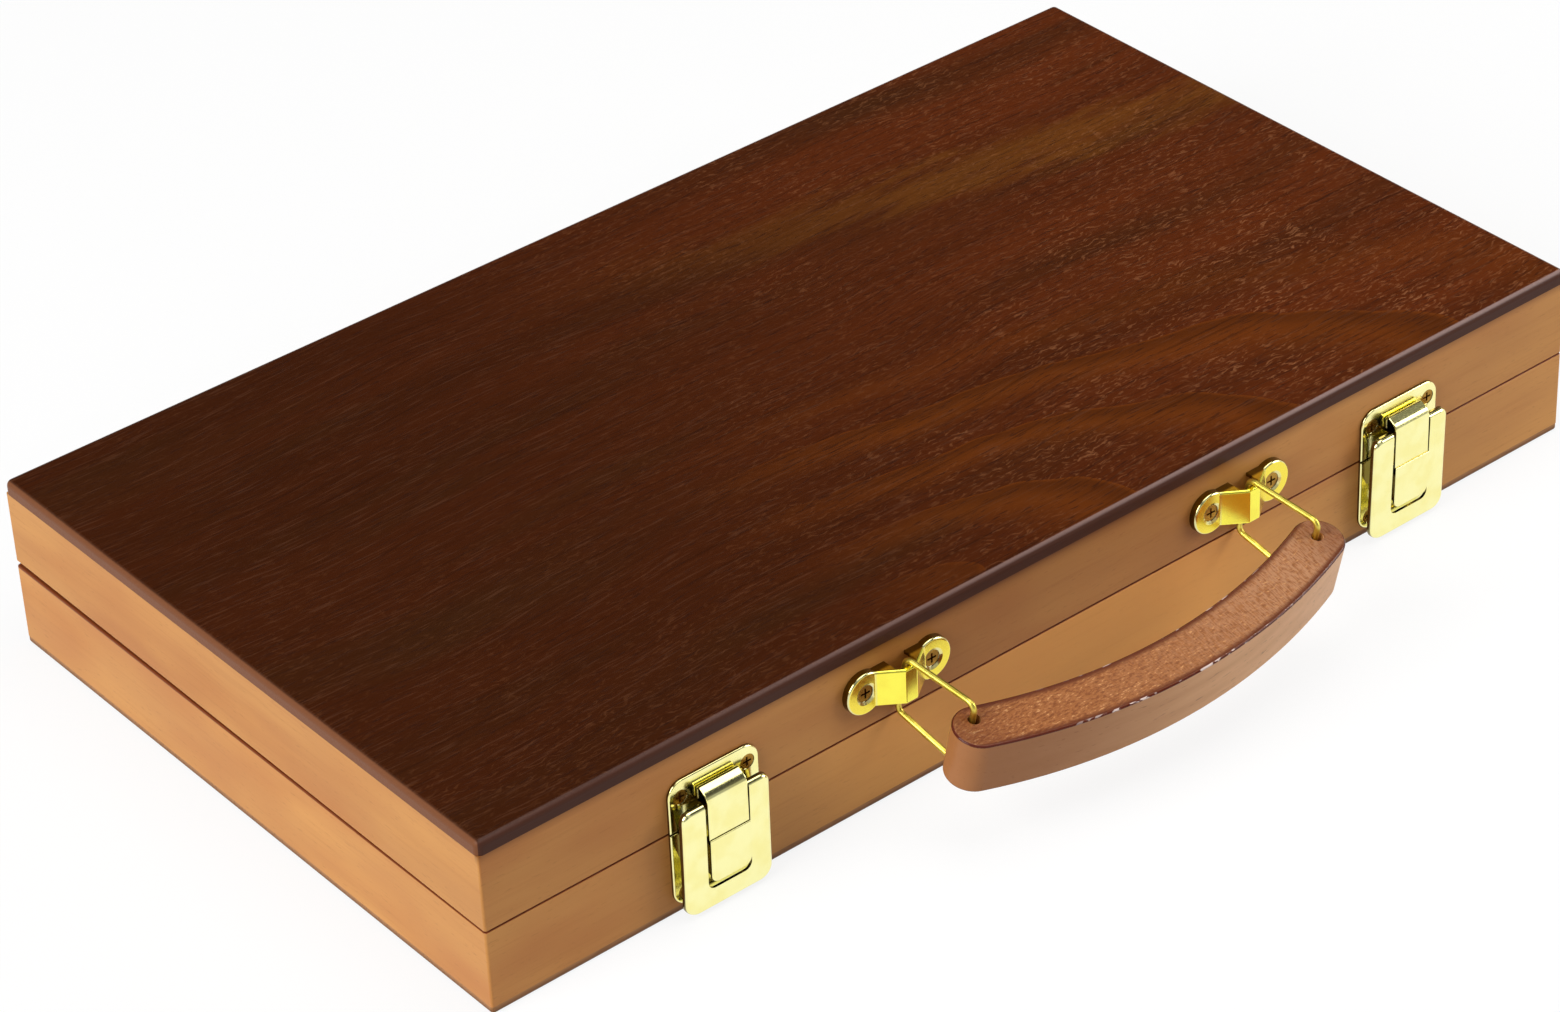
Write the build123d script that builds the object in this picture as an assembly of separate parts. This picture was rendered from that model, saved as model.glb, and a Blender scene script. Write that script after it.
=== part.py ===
"""Wooden tile-game case: two mitred halves, butt hinges, draw latches and a swinging carry handle.

Millimetres, +Z up. Origin: bottom centre of the case, +X to the right along the front,
front face at Y = -DEPTH / 2. Hardware "off" values are distances out from the front face.
"""
import os
from math import asin, atan2, cos, degrees, radians, sin, tan

from build123d import *

# ---- case -------------------------------------------------------------------
WIDTH = 360.0
DEPTH = 200.8
HEIGHT = 51.0
PANEL_T = 4.1              # lid panel
BASE_PANEL_T = 2.2         # the base's panel is thinner
RAIL_T = 9.0
BASE_TOP = 24.5            # top edge of the base rails
GAP_FRONT = 0.3            # closed gap between the halves at the front
GAP_BACK = 1.3             # at the back, where the hinge leaves lie
PANEL_ROUND = 1.8          # outer arris of the lid panel
BASE_PANEL_ROUND = 1.0
RAIL_ROUND = 0.7
RAIL_ARRIS = 0.4           # softened edges where the halves meet
LINER_T = 1.0
DIVIDER_T = 4.0
DIVIDER_DROP = 2.5         # dividers stop this far below the base's edge
RACK_BAY = 58.0            # clear depth of the front bay
TILE_BAYS = 4

FRONT = -DEPTH / 2
BACK = DEPTH / 2
LID_BOTTOM_FRONT = BASE_TOP + GAP_FRONT
LID_BOTTOM_BACK = BASE_TOP + GAP_BACK
LID_RAIL_TOP = HEIGHT - PANEL_T
FLOOR = BASE_PANEL_T + LINER_T
INNER_W = WIDTH - 2 * RAIL_T
INNER_D = DEPTH - 2 * RAIL_T
OVER = 1.0                 # how far cutting shapes overrun

# ---- screws -----------------------------------------------------------------
FIT = 0.05                 # radial room round screws and pins
SCREW_R = 1.0
SCREW_LEN = 7.5
TIP_LEN = 1.5
CROSS_W = 0.55
CROSS_DEPTH = 0.8
HEAD_SINK = 0.15           # screw heads lie this far below their plate's face

# ---- hinges -----------------------------------------------------------------
HINGE_INSET = 75.0         # end of the case to the middle of a hinge
HINGE_X = (-WIDTH / 2 + HINGE_INSET, WIDTH / 2 - HINGE_INSET)
HINGE_LEN = 32.0
LEAF_T = 0.5
LEAF_IN = 7.6
KNUCKLE_R = 1.6
KNUCKLE_GAP = 0.3
HINGE_PIN_R = 0.8
HINGE_Y = BACK + KNUCKLE_R + 0.3
HINGE_Z = BASE_TOP + GAP_BACK / 2
HINGE_SCREW_X = (-10.5, 10.5)
HINGE_HEAD_R = 1.75
HINGE_SCREW_R = 0.8

# ---- latches ----------------------------------------------------------------
HARDWARE_SHIFT = 2.5       # all the front hardware sits a little to the right
LATCH_INSET = 65.2         # end of the case to the middle of a latch, before that shift
LATCH_HALF_SPAN = WIDTH / 2 - LATCH_INSET
LATCH_X = (HARDWARE_SHIFT - LATCH_HALF_SPAN, HARDWARE_SHIFT + LATCH_HALF_SPAN)
PLATE_W = 27.4
PLATE_T = 0.9
PLATE_CORNER = 4.5
PLATE_EDGE = 0.45
KEEPER_TOP = 39.3
KEEPER_BOTTOM = LID_BOTTOM_FRONT + 0.1
LATCH_PLATE_TOP = BASE_TOP - 0.1
LATCH_PLATE_BOTTOM = 2.5
LATCH_SCREW_X = 10.2
KEEPER_SCREW_Z = 34.5
LATCH_SCREW_Z = 6.5
LATCH_HEAD_R = 2.1
LIP_W = 10.4
LIP_T = 0.6
LIP_OFF = 3.95             # inner face of the keeper's upturned lip
LIP_SHELF_Z = 31.0
LIP_TOP = 32.5
PIVOT_OFF = 3.5            # lever pivot
PIVOT_Z = 30.2
LEVER_PIN_R = 0.7
LEVER_LEAN = 1.0           # closed lever leans in by this angle, past centre
CRANK = 9.7                # lever pivot to claw pivot
CLAW_PIN_R = 0.6
LEVER_W = 26.6
LEVER_TOP = 32.6
LEVER_BOTTOM = 1.0
LEVER_FRONT = 5.7
LEVER_RIM = 1.9
LEVER_SHEET = 0.8
LEVER_CORNER = 4.0         # of its lower corners
LEVER_SHOULDER = 2.6       # of its upper corners
LEVER_EDGE = 1.3
WINDOW_W = 13.3
WINDOW_BOTTOM = 7.0
WINDOW_CORNER = 2.2
EAR_X = 10.7               # inner face of the base plate's ears
EAR_T = 0.8
EAR_HEAD = 1.2             # round head of an ear, lug or flange about its pin
EAR_FOOT = 13.7            # ear's foot below the pivot
EAR_STEP = 10.2            # where its front edge meets its slanted foot
EAR_NECK = 3.7             # where its back edge clears the keeper
EAR_CLEAR = 0.4            # ear to keeper plate
LUG_X = 9.2                # inner face of the lever's pivot lugs
LUG_HALF = 2.6             # half height of a lug or flange where it joins its sheet
FLANGE_T = 0.7
STRIP_W = 12.2
STRIP_FRONT = 5.5
STRIP_T = 0.7
HOOK_T = 0.6
HOOK_GAP = 0.25            # hook to keeper plate
HOOK_DROP = 0.25           # hook edge below the lip's top
HOOD_TOP = 36.4
HOOD_SLOPE = 30.0          # its roof falls towards the front by this angle
HOOD_BEND = 2.8
CLAW_EDGE = 0.25
CLAW_SHIFT = 0.4           # the claw rides to the right on its pin
CHANNEL_TOP = 21.6
CHANNEL_BOTTOM = 8.7
CHANNEL_PROUD = 0.4
CHANNEL_CORNER = 2.2
CHANNEL_BACK = 2.0

# ---- handle -----------------------------------------------------------------
HANDLE_SPAN = 114.7        # between the two brackets' middles
HANDLE_SHIFT = 2.1         # the handle's middle, to the right of the case's
BRACKET_X = (HANDLE_SHIFT - HANDLE_SPAN / 2, HANDLE_SHIFT + HANDLE_SPAN / 2)
BRACKET_Z = (36.6, 35.2)   # put on by eye, so they aren't level
BRACKET_T = 0.95           # pressed sheet
EAR_RISE = 2.2             # an ear is a shallow pan this deep
BRACKET_EDGE = 0.7
DISH_R = 3.1               # dished seat of a screw head
DISH_DEPTH = 0.4
MOUTH_HALF = 3.2           # half width of the bridge's open ends, where the wire comes out
FOLD_ROUND = 0.6
EAR_R = 5.9
BRACKET_SCREW_X = 10.6
BRACKET_HEAD_R = 2.3
BRIDGE_H = 10.2
BRIDGE_HALF = 8.0          # half width of the bridge at its foot
CREST_HALF = 1.75
CREST_OFF = 6.6
WIRE_R = 0.8
WIRE_BEND = 2.2
WIRE_SPLIT = 0.2           # the wire's two ends stop this far apart inside the grip
LOOP_TILT = 12.5           # loops lean out at the top
LOOP_SWING = 5.4           # closed-case rest pose, towards +X
LOOP_OFF = 2.7
LOOP_DROP = 1.9            # loop centre below the bracket centre
LOOP_INNER = 18.0
LOOP_OUTER = 22.0
ARM = 22.7
GRIP_T = 16.0
GRIP_DROP = 1.4
GRIP_HOLE_R = 1.7
GRIP_ROUND = 0.6
GRIP_W = 13.8
GRIP_SAG = 0.45            # it hangs outwards on the wires by the play of its holes
GRIP_SHIFT = -0.3          # outline to the left of its holes
GRIP_TURN = -0.8           # and turned a little on them
GRIP_RISE = 9.9            # how far the grip bows out between its ends
GRIP_END_Y = 1.6           # round ends sit this far outside the holes


def block(x0, x1, y0, y1, z0, z1):
    """Axis-aligned box between two corners."""
    size = Box(x1 - x0, y1 - y0, z1 - z0)
    return Pos((x0 + x1) / 2, (y0 + y1) / 2, (z0 + z1) / 2) * size


def side_prism(points, x0, x1):
    """Prism along X from (off, z) points; off grows towards -Y."""
    outline = Polyline([(x0, -off, z) for off, z in points], close=True)
    return extrude(make_face(outline), amount=x1 - x0, dir=(1, 0, 0))


def x_rod(radius, x0, x1, off, z):
    """Round rod along X."""
    return Pos((x0 + x1) / 2, -off, z) * Rot(0, 90, 0) * Cylinder(radius, x1 - x0)


def front_plate(width, z0, z1, off0, off1, corners):
    """Upright plate with chosen rounded corners: (bottom, top) radii."""
    plate = block(-width / 2, width / 2, -off1, -off0, z0, z1)
    edges = plate.edges().filter_by(Axis.Y).sort_by(Axis.Z)
    if corners[0] > 0:
        plate = fillet(edges[:2], corners[0])
        edges = plate.edges().filter_by(Axis.Y).sort_by(Axis.Z)
    if corners[1] > 0:
        plate = fillet(edges[-2:], corners[1])
    return plate


def write(name, shape):
    """Save one node."""
    export_step(shape, os.path.join("parts", name + ".step"))


# ---- screws: modelled pointing down -Z, head top at z = 0 --------------------
def screw(head_r, shank_r, length):
    """Countersunk cross-head screw."""
    sink = head_r - shank_r
    head = Pos(0, 0, -sink / 2) * Cone(shank_r, head_r, sink)
    shank = Pos(0, 0, -(length - TIP_LEN) / 2) * Cylinder(shank_r, length - TIP_LEN)
    tip = Pos(0, 0, -length + TIP_LEN / 2) * Cone(shank_r * 0.25, shank_r, TIP_LEN)
    bar = Box(head_r * 1.25, CROSS_W, CROSS_DEPTH)
    cross = bar + Rot(0, 0, 90) * bar
    return head + shank + tip - Pos(0, 0, -CROSS_DEPTH / 2) * cross


def screw_room(head_r, shank_r, length):
    """Space for a screw: countersink and pilot hole with a little play."""
    sink = head_r - shank_r
    cone = Pos(0, 0, -sink / 2) * Cone(shank_r + FIT, head_r + FIT, sink)
    above = Pos(0, 0, OVER / 2) * Cylinder(head_r + FIT, OVER)
    hole = Pos(0, 0, -(length + FIT) / 2) * Cylinder(shank_r + FIT, length + FIT)
    return cone + above + hole


def front_screws(places, head_r, seat, kind):
    """Screws (or their room) at (x, z) places; seat is how far out the plate carries them."""
    one = kind(head_r, SCREW_R, SCREW_LEN)
    y = FRONT - seat + HEAD_SINK
    return [Pos(x, y, z) * Rot(90, 0, 0) * one for x, z in places]


def pair(centres, dx):
    """X positions either side of each centre."""
    return [c + s * dx for c in centres for s in (-1, 1)]


KEEPER_PLACES = [(x, KEEPER_SCREW_Z) for x in pair(LATCH_X, LATCH_SCREW_X)]
PLATE_PLACES = [(x, LATCH_SCREW_Z) for x in pair(LATCH_X, LATCH_SCREW_X)]
BRACKET_PLACES = [
    (x + s * BRACKET_SCREW_X, z) for x, z in zip(BRACKET_X, BRACKET_Z) for s in (-1, 1)
]
HINGE_PLACES = [x + dx for x in HINGE_X for dx in HINGE_SCREW_X]
HINGE_SCREW_Y = BACK - LEAF_IN / 2


def keeper_screws(kind):
    """Screws (or their room) of both keepers."""
    return front_screws(KEEPER_PLACES, LATCH_HEAD_R, PLATE_T, kind)


def plate_screws(kind):
    """Screws (or their room) of both latch plates."""
    return front_screws(PLATE_PLACES, LATCH_HEAD_R, PLATE_T, kind)


def bracket_screws(kind):
    """Screws (or their room) of both handle brackets, seated in the ears' dishes."""
    return front_screws(BRACKET_PLACES, BRACKET_HEAD_R, EAR_RISE - DISH_DEPTH, kind)


def hinge_screws(kind, up):
    """Hinge screws (or their room), down into the base or up into the lid."""
    one = kind(HINGE_HEAD_R, HINGE_SCREW_R, SCREW_LEN)
    z = LID_BOTTOM_BACK - LEAF_T if up else BASE_TOP + LEAF_T
    turn = Rot(180, 0, 0) if up else Rot(0, 0, 0)
    return [Pos(x, HINGE_SCREW_Y, z) * turn * one for x in HINGE_PLACES]


# ---- wood -------------------------------------------------------------------
def rail_ring(z0, z1):
    """Rectangular frame with softened outer corners, before it is mitred."""
    ring = Pos(0, 0, (z0 + z1) / 2) * Box(WIDTH, DEPTH, z1 - z0)
    ring = fillet(ring.edges().filter_by(Axis.Z), RAIL_ROUND)
    return ring - Pos(0, 0, (z0 + z1) / 2) * Box(INNER_W, INNER_D, z1 - z0 + OVER)


def mitre_wedge(side):
    """Tall prism that keeps one side of the ring, bounded by the 45 degree mitres."""
    w, d = WIDTH / 2, DEPTH / 2
    reach = RAIL_T * 1.5
    corners = {
        "front": [(-w, -d), (w, -d), (w - reach, -d + reach), (-w + reach, -d + reach)],
        "back": [(-w, d), (w, d), (w - reach, d - reach), (-w + reach, d - reach)],
        "left": [(-w, -d), (-w, d), (-w + reach, d - reach), (-w + reach, -d + reach)],
        "right": [(w, -d), (w, d), (w - reach, d - reach), (w - reach, -d + reach)],
    }
    return extrude(make_face(Polyline(corners[side], close=True)), amount=HEIGHT)


def lid_underside():
    """Wedge planed off the lid so its edge rises from front to back, level over the hinges."""
    points = [
        (FRONT - OVER, 0),
        (FRONT - OVER, LID_BOTTOM_FRONT),
        (FRONT, LID_BOTTOM_FRONT),
        (BACK - RAIL_T, LID_BOTTOM_BACK),
        (BACK + OVER, LID_BOTTOM_BACK),
        (BACK + OVER, 0),
    ]
    return side_prism([(-y, z) for y, z in points], -WIDTH, WIDTH)


def mating_edges(ring, z0, z1):
    """Outer edges of a ring whose middles lie between two heights."""
    found = []
    for edge in ring.edges():
        middle = edge.center()
        at_side = abs(middle.X) > WIDTH / 2 - RAIL_ROUND
        at_end = abs(middle.Y) > DEPTH / 2 - RAIL_ROUND
        if (at_side or at_end) and z0 - FIT < middle.Z < z1 + FIT:
            found.append(edge)
    return found


def case_panel(z0, z1, side, radius):
    """Thin panel across the rails; side 0 rounds its lower outer arris, -1 the upper one."""
    panel = block(-WIDTH / 2, WIDTH / 2, FRONT, BACK, z0, z1)
    panel = fillet(panel.edges().filter_by(Axis.Z), radius)
    return fillet(panel.faces().sort_by(Axis.Z)[side].edges(), radius)


def half_nodes(prefix, ring, cuts):
    """Cut the ring with the hardware holes and write its four rails."""
    for side in ("front", "back", "left", "right"):
        rail = ring & mitre_wedge(side)
        for cut in cuts.get(side, []):
            rail = rail - cut
        write(f"{prefix}_{side}_rail", rail)


def base_wood():
    """Base panel, rails, felt and dividers."""
    write("base_panel", case_panel(0, BASE_PANEL_T, 0, BASE_PANEL_ROUND))
    cuts = {"front": plate_screws(screw_room), "back": hinge_screws(screw_room, False)}
    ring = rail_ring(BASE_PANEL_T, BASE_TOP)
    ring = fillet(mating_edges(ring, BASE_TOP, BASE_TOP), RAIL_ARRIS)
    half_nodes("base", ring, cuts)
    felt = block(-INNER_W / 2, INNER_W / 2, -INNER_D / 2, INNER_D / 2, BASE_PANEL_T, FLOOR)
    write("base_liner", felt)
    y0 = -INNER_D / 2 + RACK_BAY
    top = BASE_TOP - DIVIDER_DROP
    write("rack_divider", block(-INNER_W / 2, INNER_W / 2, y0, y0 + DIVIDER_T, FLOOR, top))
    pitch = (INNER_W + DIVIDER_T) / TILE_BAYS
    bars = []
    for i in range(1, TILE_BAYS):
        x0 = -INNER_W / 2 + i * pitch - DIVIDER_T
        bars.append(block(x0, x0 + DIVIDER_T, y0 + DIVIDER_T, INNER_D / 2, FLOOR, top))
    write("tile_dividers", Compound(children=bars))


def lid_wood():
    """Lid panel, rails and felt."""
    write("lid_panel", case_panel(LID_RAIL_TOP, HEIGHT, -1, PANEL_ROUND))
    cuts = {
        "front": keeper_screws(screw_room) + bracket_screws(screw_room),
        "back": hinge_screws(screw_room, True),
    }
    ring = rail_ring(LID_BOTTOM_FRONT - OVER, LID_RAIL_TOP) - lid_underside()
    ring = fillet(mating_edges(ring, LID_BOTTOM_FRONT, LID_BOTTOM_BACK), RAIL_ARRIS)
    half_nodes("lid", ring, cuts)
    z0 = LID_RAIL_TOP - LINER_T
    felt = block(-INNER_W / 2, INNER_W / 2, -INNER_D / 2, INNER_D / 2, z0, LID_RAIL_TOP)
    write("lid_liner", felt)


# ---- hinges -----------------------------------------------------------------
def hinge_leaf(x, is_lid):
    """One leaf: a flat strip in the gap with its knuckles outside the back."""
    third = HINGE_LEN / 3
    z0 = LID_BOTTOM_BACK - LEAF_T if is_lid else BASE_TOP
    leaf = block(-HINGE_LEN / 2, HINGE_LEN / 2, BACK - LEAF_IN, BACK, z0, z0 + LEAF_T)
    spans = [(-third / 2, third / 2)]
    if not is_lid:
        spans = [(-third * 1.5, -third / 2 - KNUCKLE_GAP), (third / 2 + KNUCKLE_GAP, third * 1.5)]
    for a, b in spans:
        leaf = leaf + block(a, b, BACK - OVER, HINGE_Y, z0, z0 + LEAF_T)
        leaf = leaf + x_rod(KNUCKLE_R, a, b, -HINGE_Y, HINGE_Z)
    leaf = leaf - x_rod(HINGE_PIN_R + FIT, -HINGE_LEN, HINGE_LEN, -HINGE_Y, HINGE_Z)
    leaf = Pos(x, 0, 0) * leaf
    for room in hinge_screws(screw_room, is_lid):
        leaf = leaf - room
    return leaf


def hinges():
    """Two butt hinges with their pins and screws."""
    for side, x in zip(("left", "right"), HINGE_X):
        write(f"{side}_hinge_base_leaf", hinge_leaf(x, False))
        write(f"{side}_hinge_lid_leaf", hinge_leaf(x, True))
        pin = x_rod(HINGE_PIN_R, x - HINGE_LEN / 2, x + HINGE_LEN / 2, -HINGE_Y, HINGE_Z)
        write(f"{side}_hinge_pin", pin)
    write("hinge_base_screws", Compound(children=hinge_screws(screw, False)))
    write("hinge_lid_screws", Compound(children=hinge_screws(screw, True)))


# ---- latches: modelled at X = 0 with the front face at Y = 0 -----------------
def place(shape, x):
    """Move a latch part on to the front face."""
    return Pos(x, FRONT, 0) * shape


def rolled_plate(z0, z1, corners):
    """Screwed plate with softened front edges."""
    plate = front_plate(PLATE_W, z0, z1, 0, PLATE_T, corners)
    return fillet(plate.faces().sort_by(Axis.Y)[0].edges(), PLATE_EDGE)


def keeper():
    """Plate on the lid with an upturned lip for the claw."""
    plate = rolled_plate(KEEPER_BOTTOM, KEEPER_TOP, (0, PLATE_CORNER))
    lip = side_prism(
        [
            (PLATE_T / 2, LIP_SHELF_Z),
            (LIP_OFF + LIP_T, LIP_SHELF_Z),
            (LIP_OFF + LIP_T, LIP_TOP),
            (LIP_OFF, LIP_TOP),
            (LIP_OFF, LIP_SHELF_Z + LIP_T),
            (PLATE_T / 2, LIP_SHELF_Z + LIP_T),
        ],
        -LIP_W / 2,
        LIP_W / 2,
    )
    return plate + lip


def latch_plate():
    """Plate on the base with two tall ears that carry the lever's pin."""
    high = LATCH_PLATE_TOP
    plate = rolled_plate(LATCH_PLATE_BOTTOM, high, (PLATE_CORNER, 0))
    clear = PLATE_T + EAR_CLEAR
    root = PLATE_T / 2
    ear = [
        (root, PIVOT_Z - EAR_FOOT),
        (PIVOT_OFF, PIVOT_Z - EAR_STEP),
        (PIVOT_OFF + EAR_HEAD, PIVOT_Z),
        (PIVOT_OFF - EAR_HEAD, PIVOT_Z),
        (clear, PIVOT_Z - EAR_NECK),
        (clear, high),
        (root, high),
    ]
    for sign in (-1, 1):
        x0 = min(sign * EAR_X, sign * (EAR_X + EAR_T))
        plate = plate + side_prism(ear, x0, x0 + EAR_T)
        plate = plate + x_rod(EAR_HEAD, x0, x0 + EAR_T, PIVOT_OFF, PIVOT_Z)
    return plate - x_rod(LEVER_PIN_R + FIT, -PLATE_W / 2, PLATE_W / 2, PIVOT_OFF, PIVOT_Z)


def lean(shape):
    """Turn a lever part about its pivot so its foot leans in."""
    return shape.rotate(Axis((0, -PIVOT_OFF, PIVOT_Z), (1, 0, 0)), LEVER_LEAN)


def claw_pivot():
    """(off, z) of the claw pin after the lean."""
    angle = radians(LEVER_LEAN)
    return PIVOT_OFF - CRANK * sin(angle), PIVOT_Z - CRANK * cos(angle)


def lever_shell():
    """Pressed frame with a turned-back rim all round, parted at the top by the claw's window."""
    back = LEVER_FRONT - LEVER_RIM
    wall = LEVER_SHEET
    radii = (LEVER_CORNER, LEVER_SHOULDER)
    shell = front_plate(LEVER_W, LEVER_BOTTOM, LEVER_TOP, back, LEVER_FRONT, radii)
    shell = fillet(shell.faces().sort_by(Axis.Y)[0].edges(), LEVER_EDGE)
    radii = (LEVER_CORNER - wall, LEVER_SHOULDER - wall)
    inner_w = LEVER_W - 2 * wall
    low, high = LEVER_BOTTOM + wall, LEVER_TOP - wall
    hollow = front_plate(inner_w, low, high, back - OVER, LEVER_FRONT - wall, radii)
    hollow = fillet(hollow.faces().sort_by(Axis.Y)[0].edges(), LEVER_EDGE - wall)
    tall = LEVER_TOP + OVER
    window = front_plate(WINDOW_W, WINDOW_BOTTOM, tall, 0, LEVER_FRONT + OVER, (WINDOW_CORNER, 0))
    return shell - hollow - window


def lever():
    """Lever frame with pivot lugs and the flanges that hold the claw pin."""
    body = lever_shell()
    skin = LEVER_FRONT - LEVER_SHEET / 2
    roof = LEVER_TOP - LEVER_SHEET / 2
    z = PIVOT_Z - CRANK
    root = [(PIVOT_OFF, PIVOT_Z + EAR_HEAD), (PIVOT_OFF, PIVOT_Z - EAR_HEAD)]
    behind = LEVER_FRONT - LEVER_RIM
    lug = [(skin, PIVOT_Z - LUG_HALF), (skin, roof), (behind, roof)] + root
    flange = [(skin, z - LUG_HALF), (skin, z + LUG_HALF)] + [(off, h - CRANK) for off, h in root]
    for sign in (-1, 1):
        x0 = min(sign * LUG_X, sign * (LUG_X + EAR_T))
        body = body + side_prism(lug, x0, x0 + EAR_T)
        body = body + x_rod(EAR_HEAD, x0, x0 + EAR_T, PIVOT_OFF, PIVOT_Z)
        x1 = min(sign * WINDOW_W / 2, sign * (WINDOW_W / 2 + FLANGE_T))
        body = body + side_prism(flange, x1, x1 + FLANGE_T)
        body = body + x_rod(EAR_HEAD, x1, x1 + FLANGE_T, PIVOT_OFF, z)
    body = body - x_rod(LEVER_PIN_R + FIT, -LEVER_W / 2 + 1, LEVER_W / 2 - 1, PIVOT_OFF, PIVOT_Z)
    body = body - x_rod(CLAW_PIN_R + FIT, -LEVER_W / 2 + 1, LEVER_W / 2 - 1, PIVOT_OFF, z)
    return lean(body)


def claw_hook():
    """Bent strip: up the front, back over a sloping roof and down behind the keeper's lip."""
    front = STRIP_FRONT - STRIP_T / 2
    rear = PLATE_T + HOOK_GAP + STRIP_T / 2
    roof = HOOD_TOP - STRIP_T / 2
    knee = roof - (front - rear) * tan(radians(HOOD_SLOPE))
    tip = LIP_TOP - HOOK_DROP
    points = [(front, CHANNEL_TOP - 2), (front, knee), (rear, roof), (rear, tip)]
    path = FilletPolyline(*points, radius=(HOOD_BEND, STRIP_T))
    strip = extrude(trace(path, STRIP_T), amount=STRIP_W)
    sides = strip.faces().sort_by(Axis.Z)
    strip = fillet(sides[0].edges() + sides[-1].edges(), CLAW_EDGE)
    return Plane(origin=(STRIP_W / 2, 0, 0), x_dir=(0, -1, 0), z_dir=(-1, 0, 0)) * strip


def claw():
    """Hooked strip with a folded channel at its foot that rides on the claw pin."""
    off, z = claw_pivot()
    front = STRIP_FRONT + CHANNEL_PROUD
    radii = (CHANNEL_CORNER, 0)
    sheet = front_plate(STRIP_W, CHANNEL_BOTTOM, CHANNEL_TOP, front - STRIP_T, front, radii)
    sheet = fillet(sheet.faces().sort_by(Axis.Y)[0].edges(), CLAW_EDGE)
    sheet = sheet.rotate(Axis((0, -front, CHANNEL_TOP), (1, 0, 0)), LEVER_LEAN)
    tail = tan(radians(LEVER_LEAN)) * (CHANNEL_TOP - CHANNEL_BOTTOM - CHANNEL_CORNER)
    skin = front - STRIP_T / 2
    flange = [
        (skin, CHANNEL_TOP),
        (off, CHANNEL_TOP),
        (off - 1.1, z + 0.7),
        (off - 1.1, z - 0.7),
        (off, z - 1.4),
        (CHANNEL_BACK + 1.0, CHANNEL_BOTTOM + CHANNEL_CORNER + 1.0),
        (skin - tail, CHANNEL_BOTTOM + CHANNEL_CORNER),
    ]
    body = claw_hook() + sheet
    for sign in (-1, 1):
        edge = sign * STRIP_W / 2
        x0 = min(edge, edge - sign * FLANGE_T)
        body = body + side_prism(flange, x0, x0 + FLANGE_T)
    return body - x_rod(CLAW_PIN_R + FIT, -STRIP_W, STRIP_W, off, z)


def latches():
    """Both draw latches."""
    keeper_rooms = keeper_screws(screw_room)
    plate_rooms = plate_screws(screw_room)
    off, z = claw_pivot()
    lever_pin_half = EAR_X + EAR_T
    claw_pin_half = WINDOW_W / 2 + FLANGE_T
    for i, (side, x) in enumerate(zip(("left", "right"), LATCH_X)):
        lid_plate = place(keeper(), x)
        base_plate = place(latch_plate(), x)
        for k in (2 * i, 2 * i + 1):
            lid_plate = lid_plate - keeper_rooms[k]
            base_plate = base_plate - plate_rooms[k]
        write(f"{side}_keeper", lid_plate)
        write(f"{side}_latch_plate", base_plate)
        pin = x_rod(LEVER_PIN_R, -lever_pin_half, lever_pin_half, PIVOT_OFF, PIVOT_Z)
        write(f"{side}_lever_pin", place(pin, x))
        write(f"{side}_lever", place(lever(), x))
        write(f"{side}_claw_pin", place(x_rod(CLAW_PIN_R, -claw_pin_half, claw_pin_half, off, z), x))
        write(f"{side}_claw", place(claw(), x + CLAW_SHIFT))
    write("keeper_screws", Compound(children=keeper_screws(screw)))
    write("latch_plate_screws", Compound(children=plate_screws(screw)))


# ---- handle -----------------------------------------------------------------
def bridge_section(inset):
    """(x, off) outline of the strap's section: its outer skin, or a line this far below it."""
    slope = atan2(CREST_OFF - EAR_RISE, BRIDGE_HALF - CREST_HALF)
    shift = inset * tan(slope / 2)
    reach = BRACKET_SCREW_X + 2 * EAR_R
    foot = EAR_RISE - inset
    crest = (shift - CREST_HALF, CREST_OFF - inset)
    left = [(-reach, 0), (-reach, foot), (shift - BRIDGE_HALF, foot), crest]
    return left + [(-x, off) for x, off in reversed(left)]


def bridge_prism(inset, tall):
    """The strap's section run through a height of twice tall."""
    outline = Polyline([(x, -off, -tall) for x, off in bridge_section(inset)], close=True)
    return extrude(make_face(outline), amount=2 * tall, dir=(0, 0, 1))


def bridge_skin():
    """Outer form of the bridge, between the screws, with rounded folds and edges."""
    tall = BRIDGE_H / 2
    body = bridge_prism(0, tall) & Box(2 * BRACKET_SCREW_X, 3 * CREST_OFF, BRIDGE_H)
    folds = body.edges().filter_by(Axis.Z)
    folds = [e for e in folds if abs(e.center().X) < BRIDGE_HALF + FIT and -e.center().Y > FIT]
    body = fillet(folds, FOLD_ROUND)
    rim = body.edges().filter_by(Axis.Y, reverse=True).filter_by(Axis.Z, reverse=True)
    return fillet([e for e in rim if -e.center().Y > FIT], BRACKET_EDGE)


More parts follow.
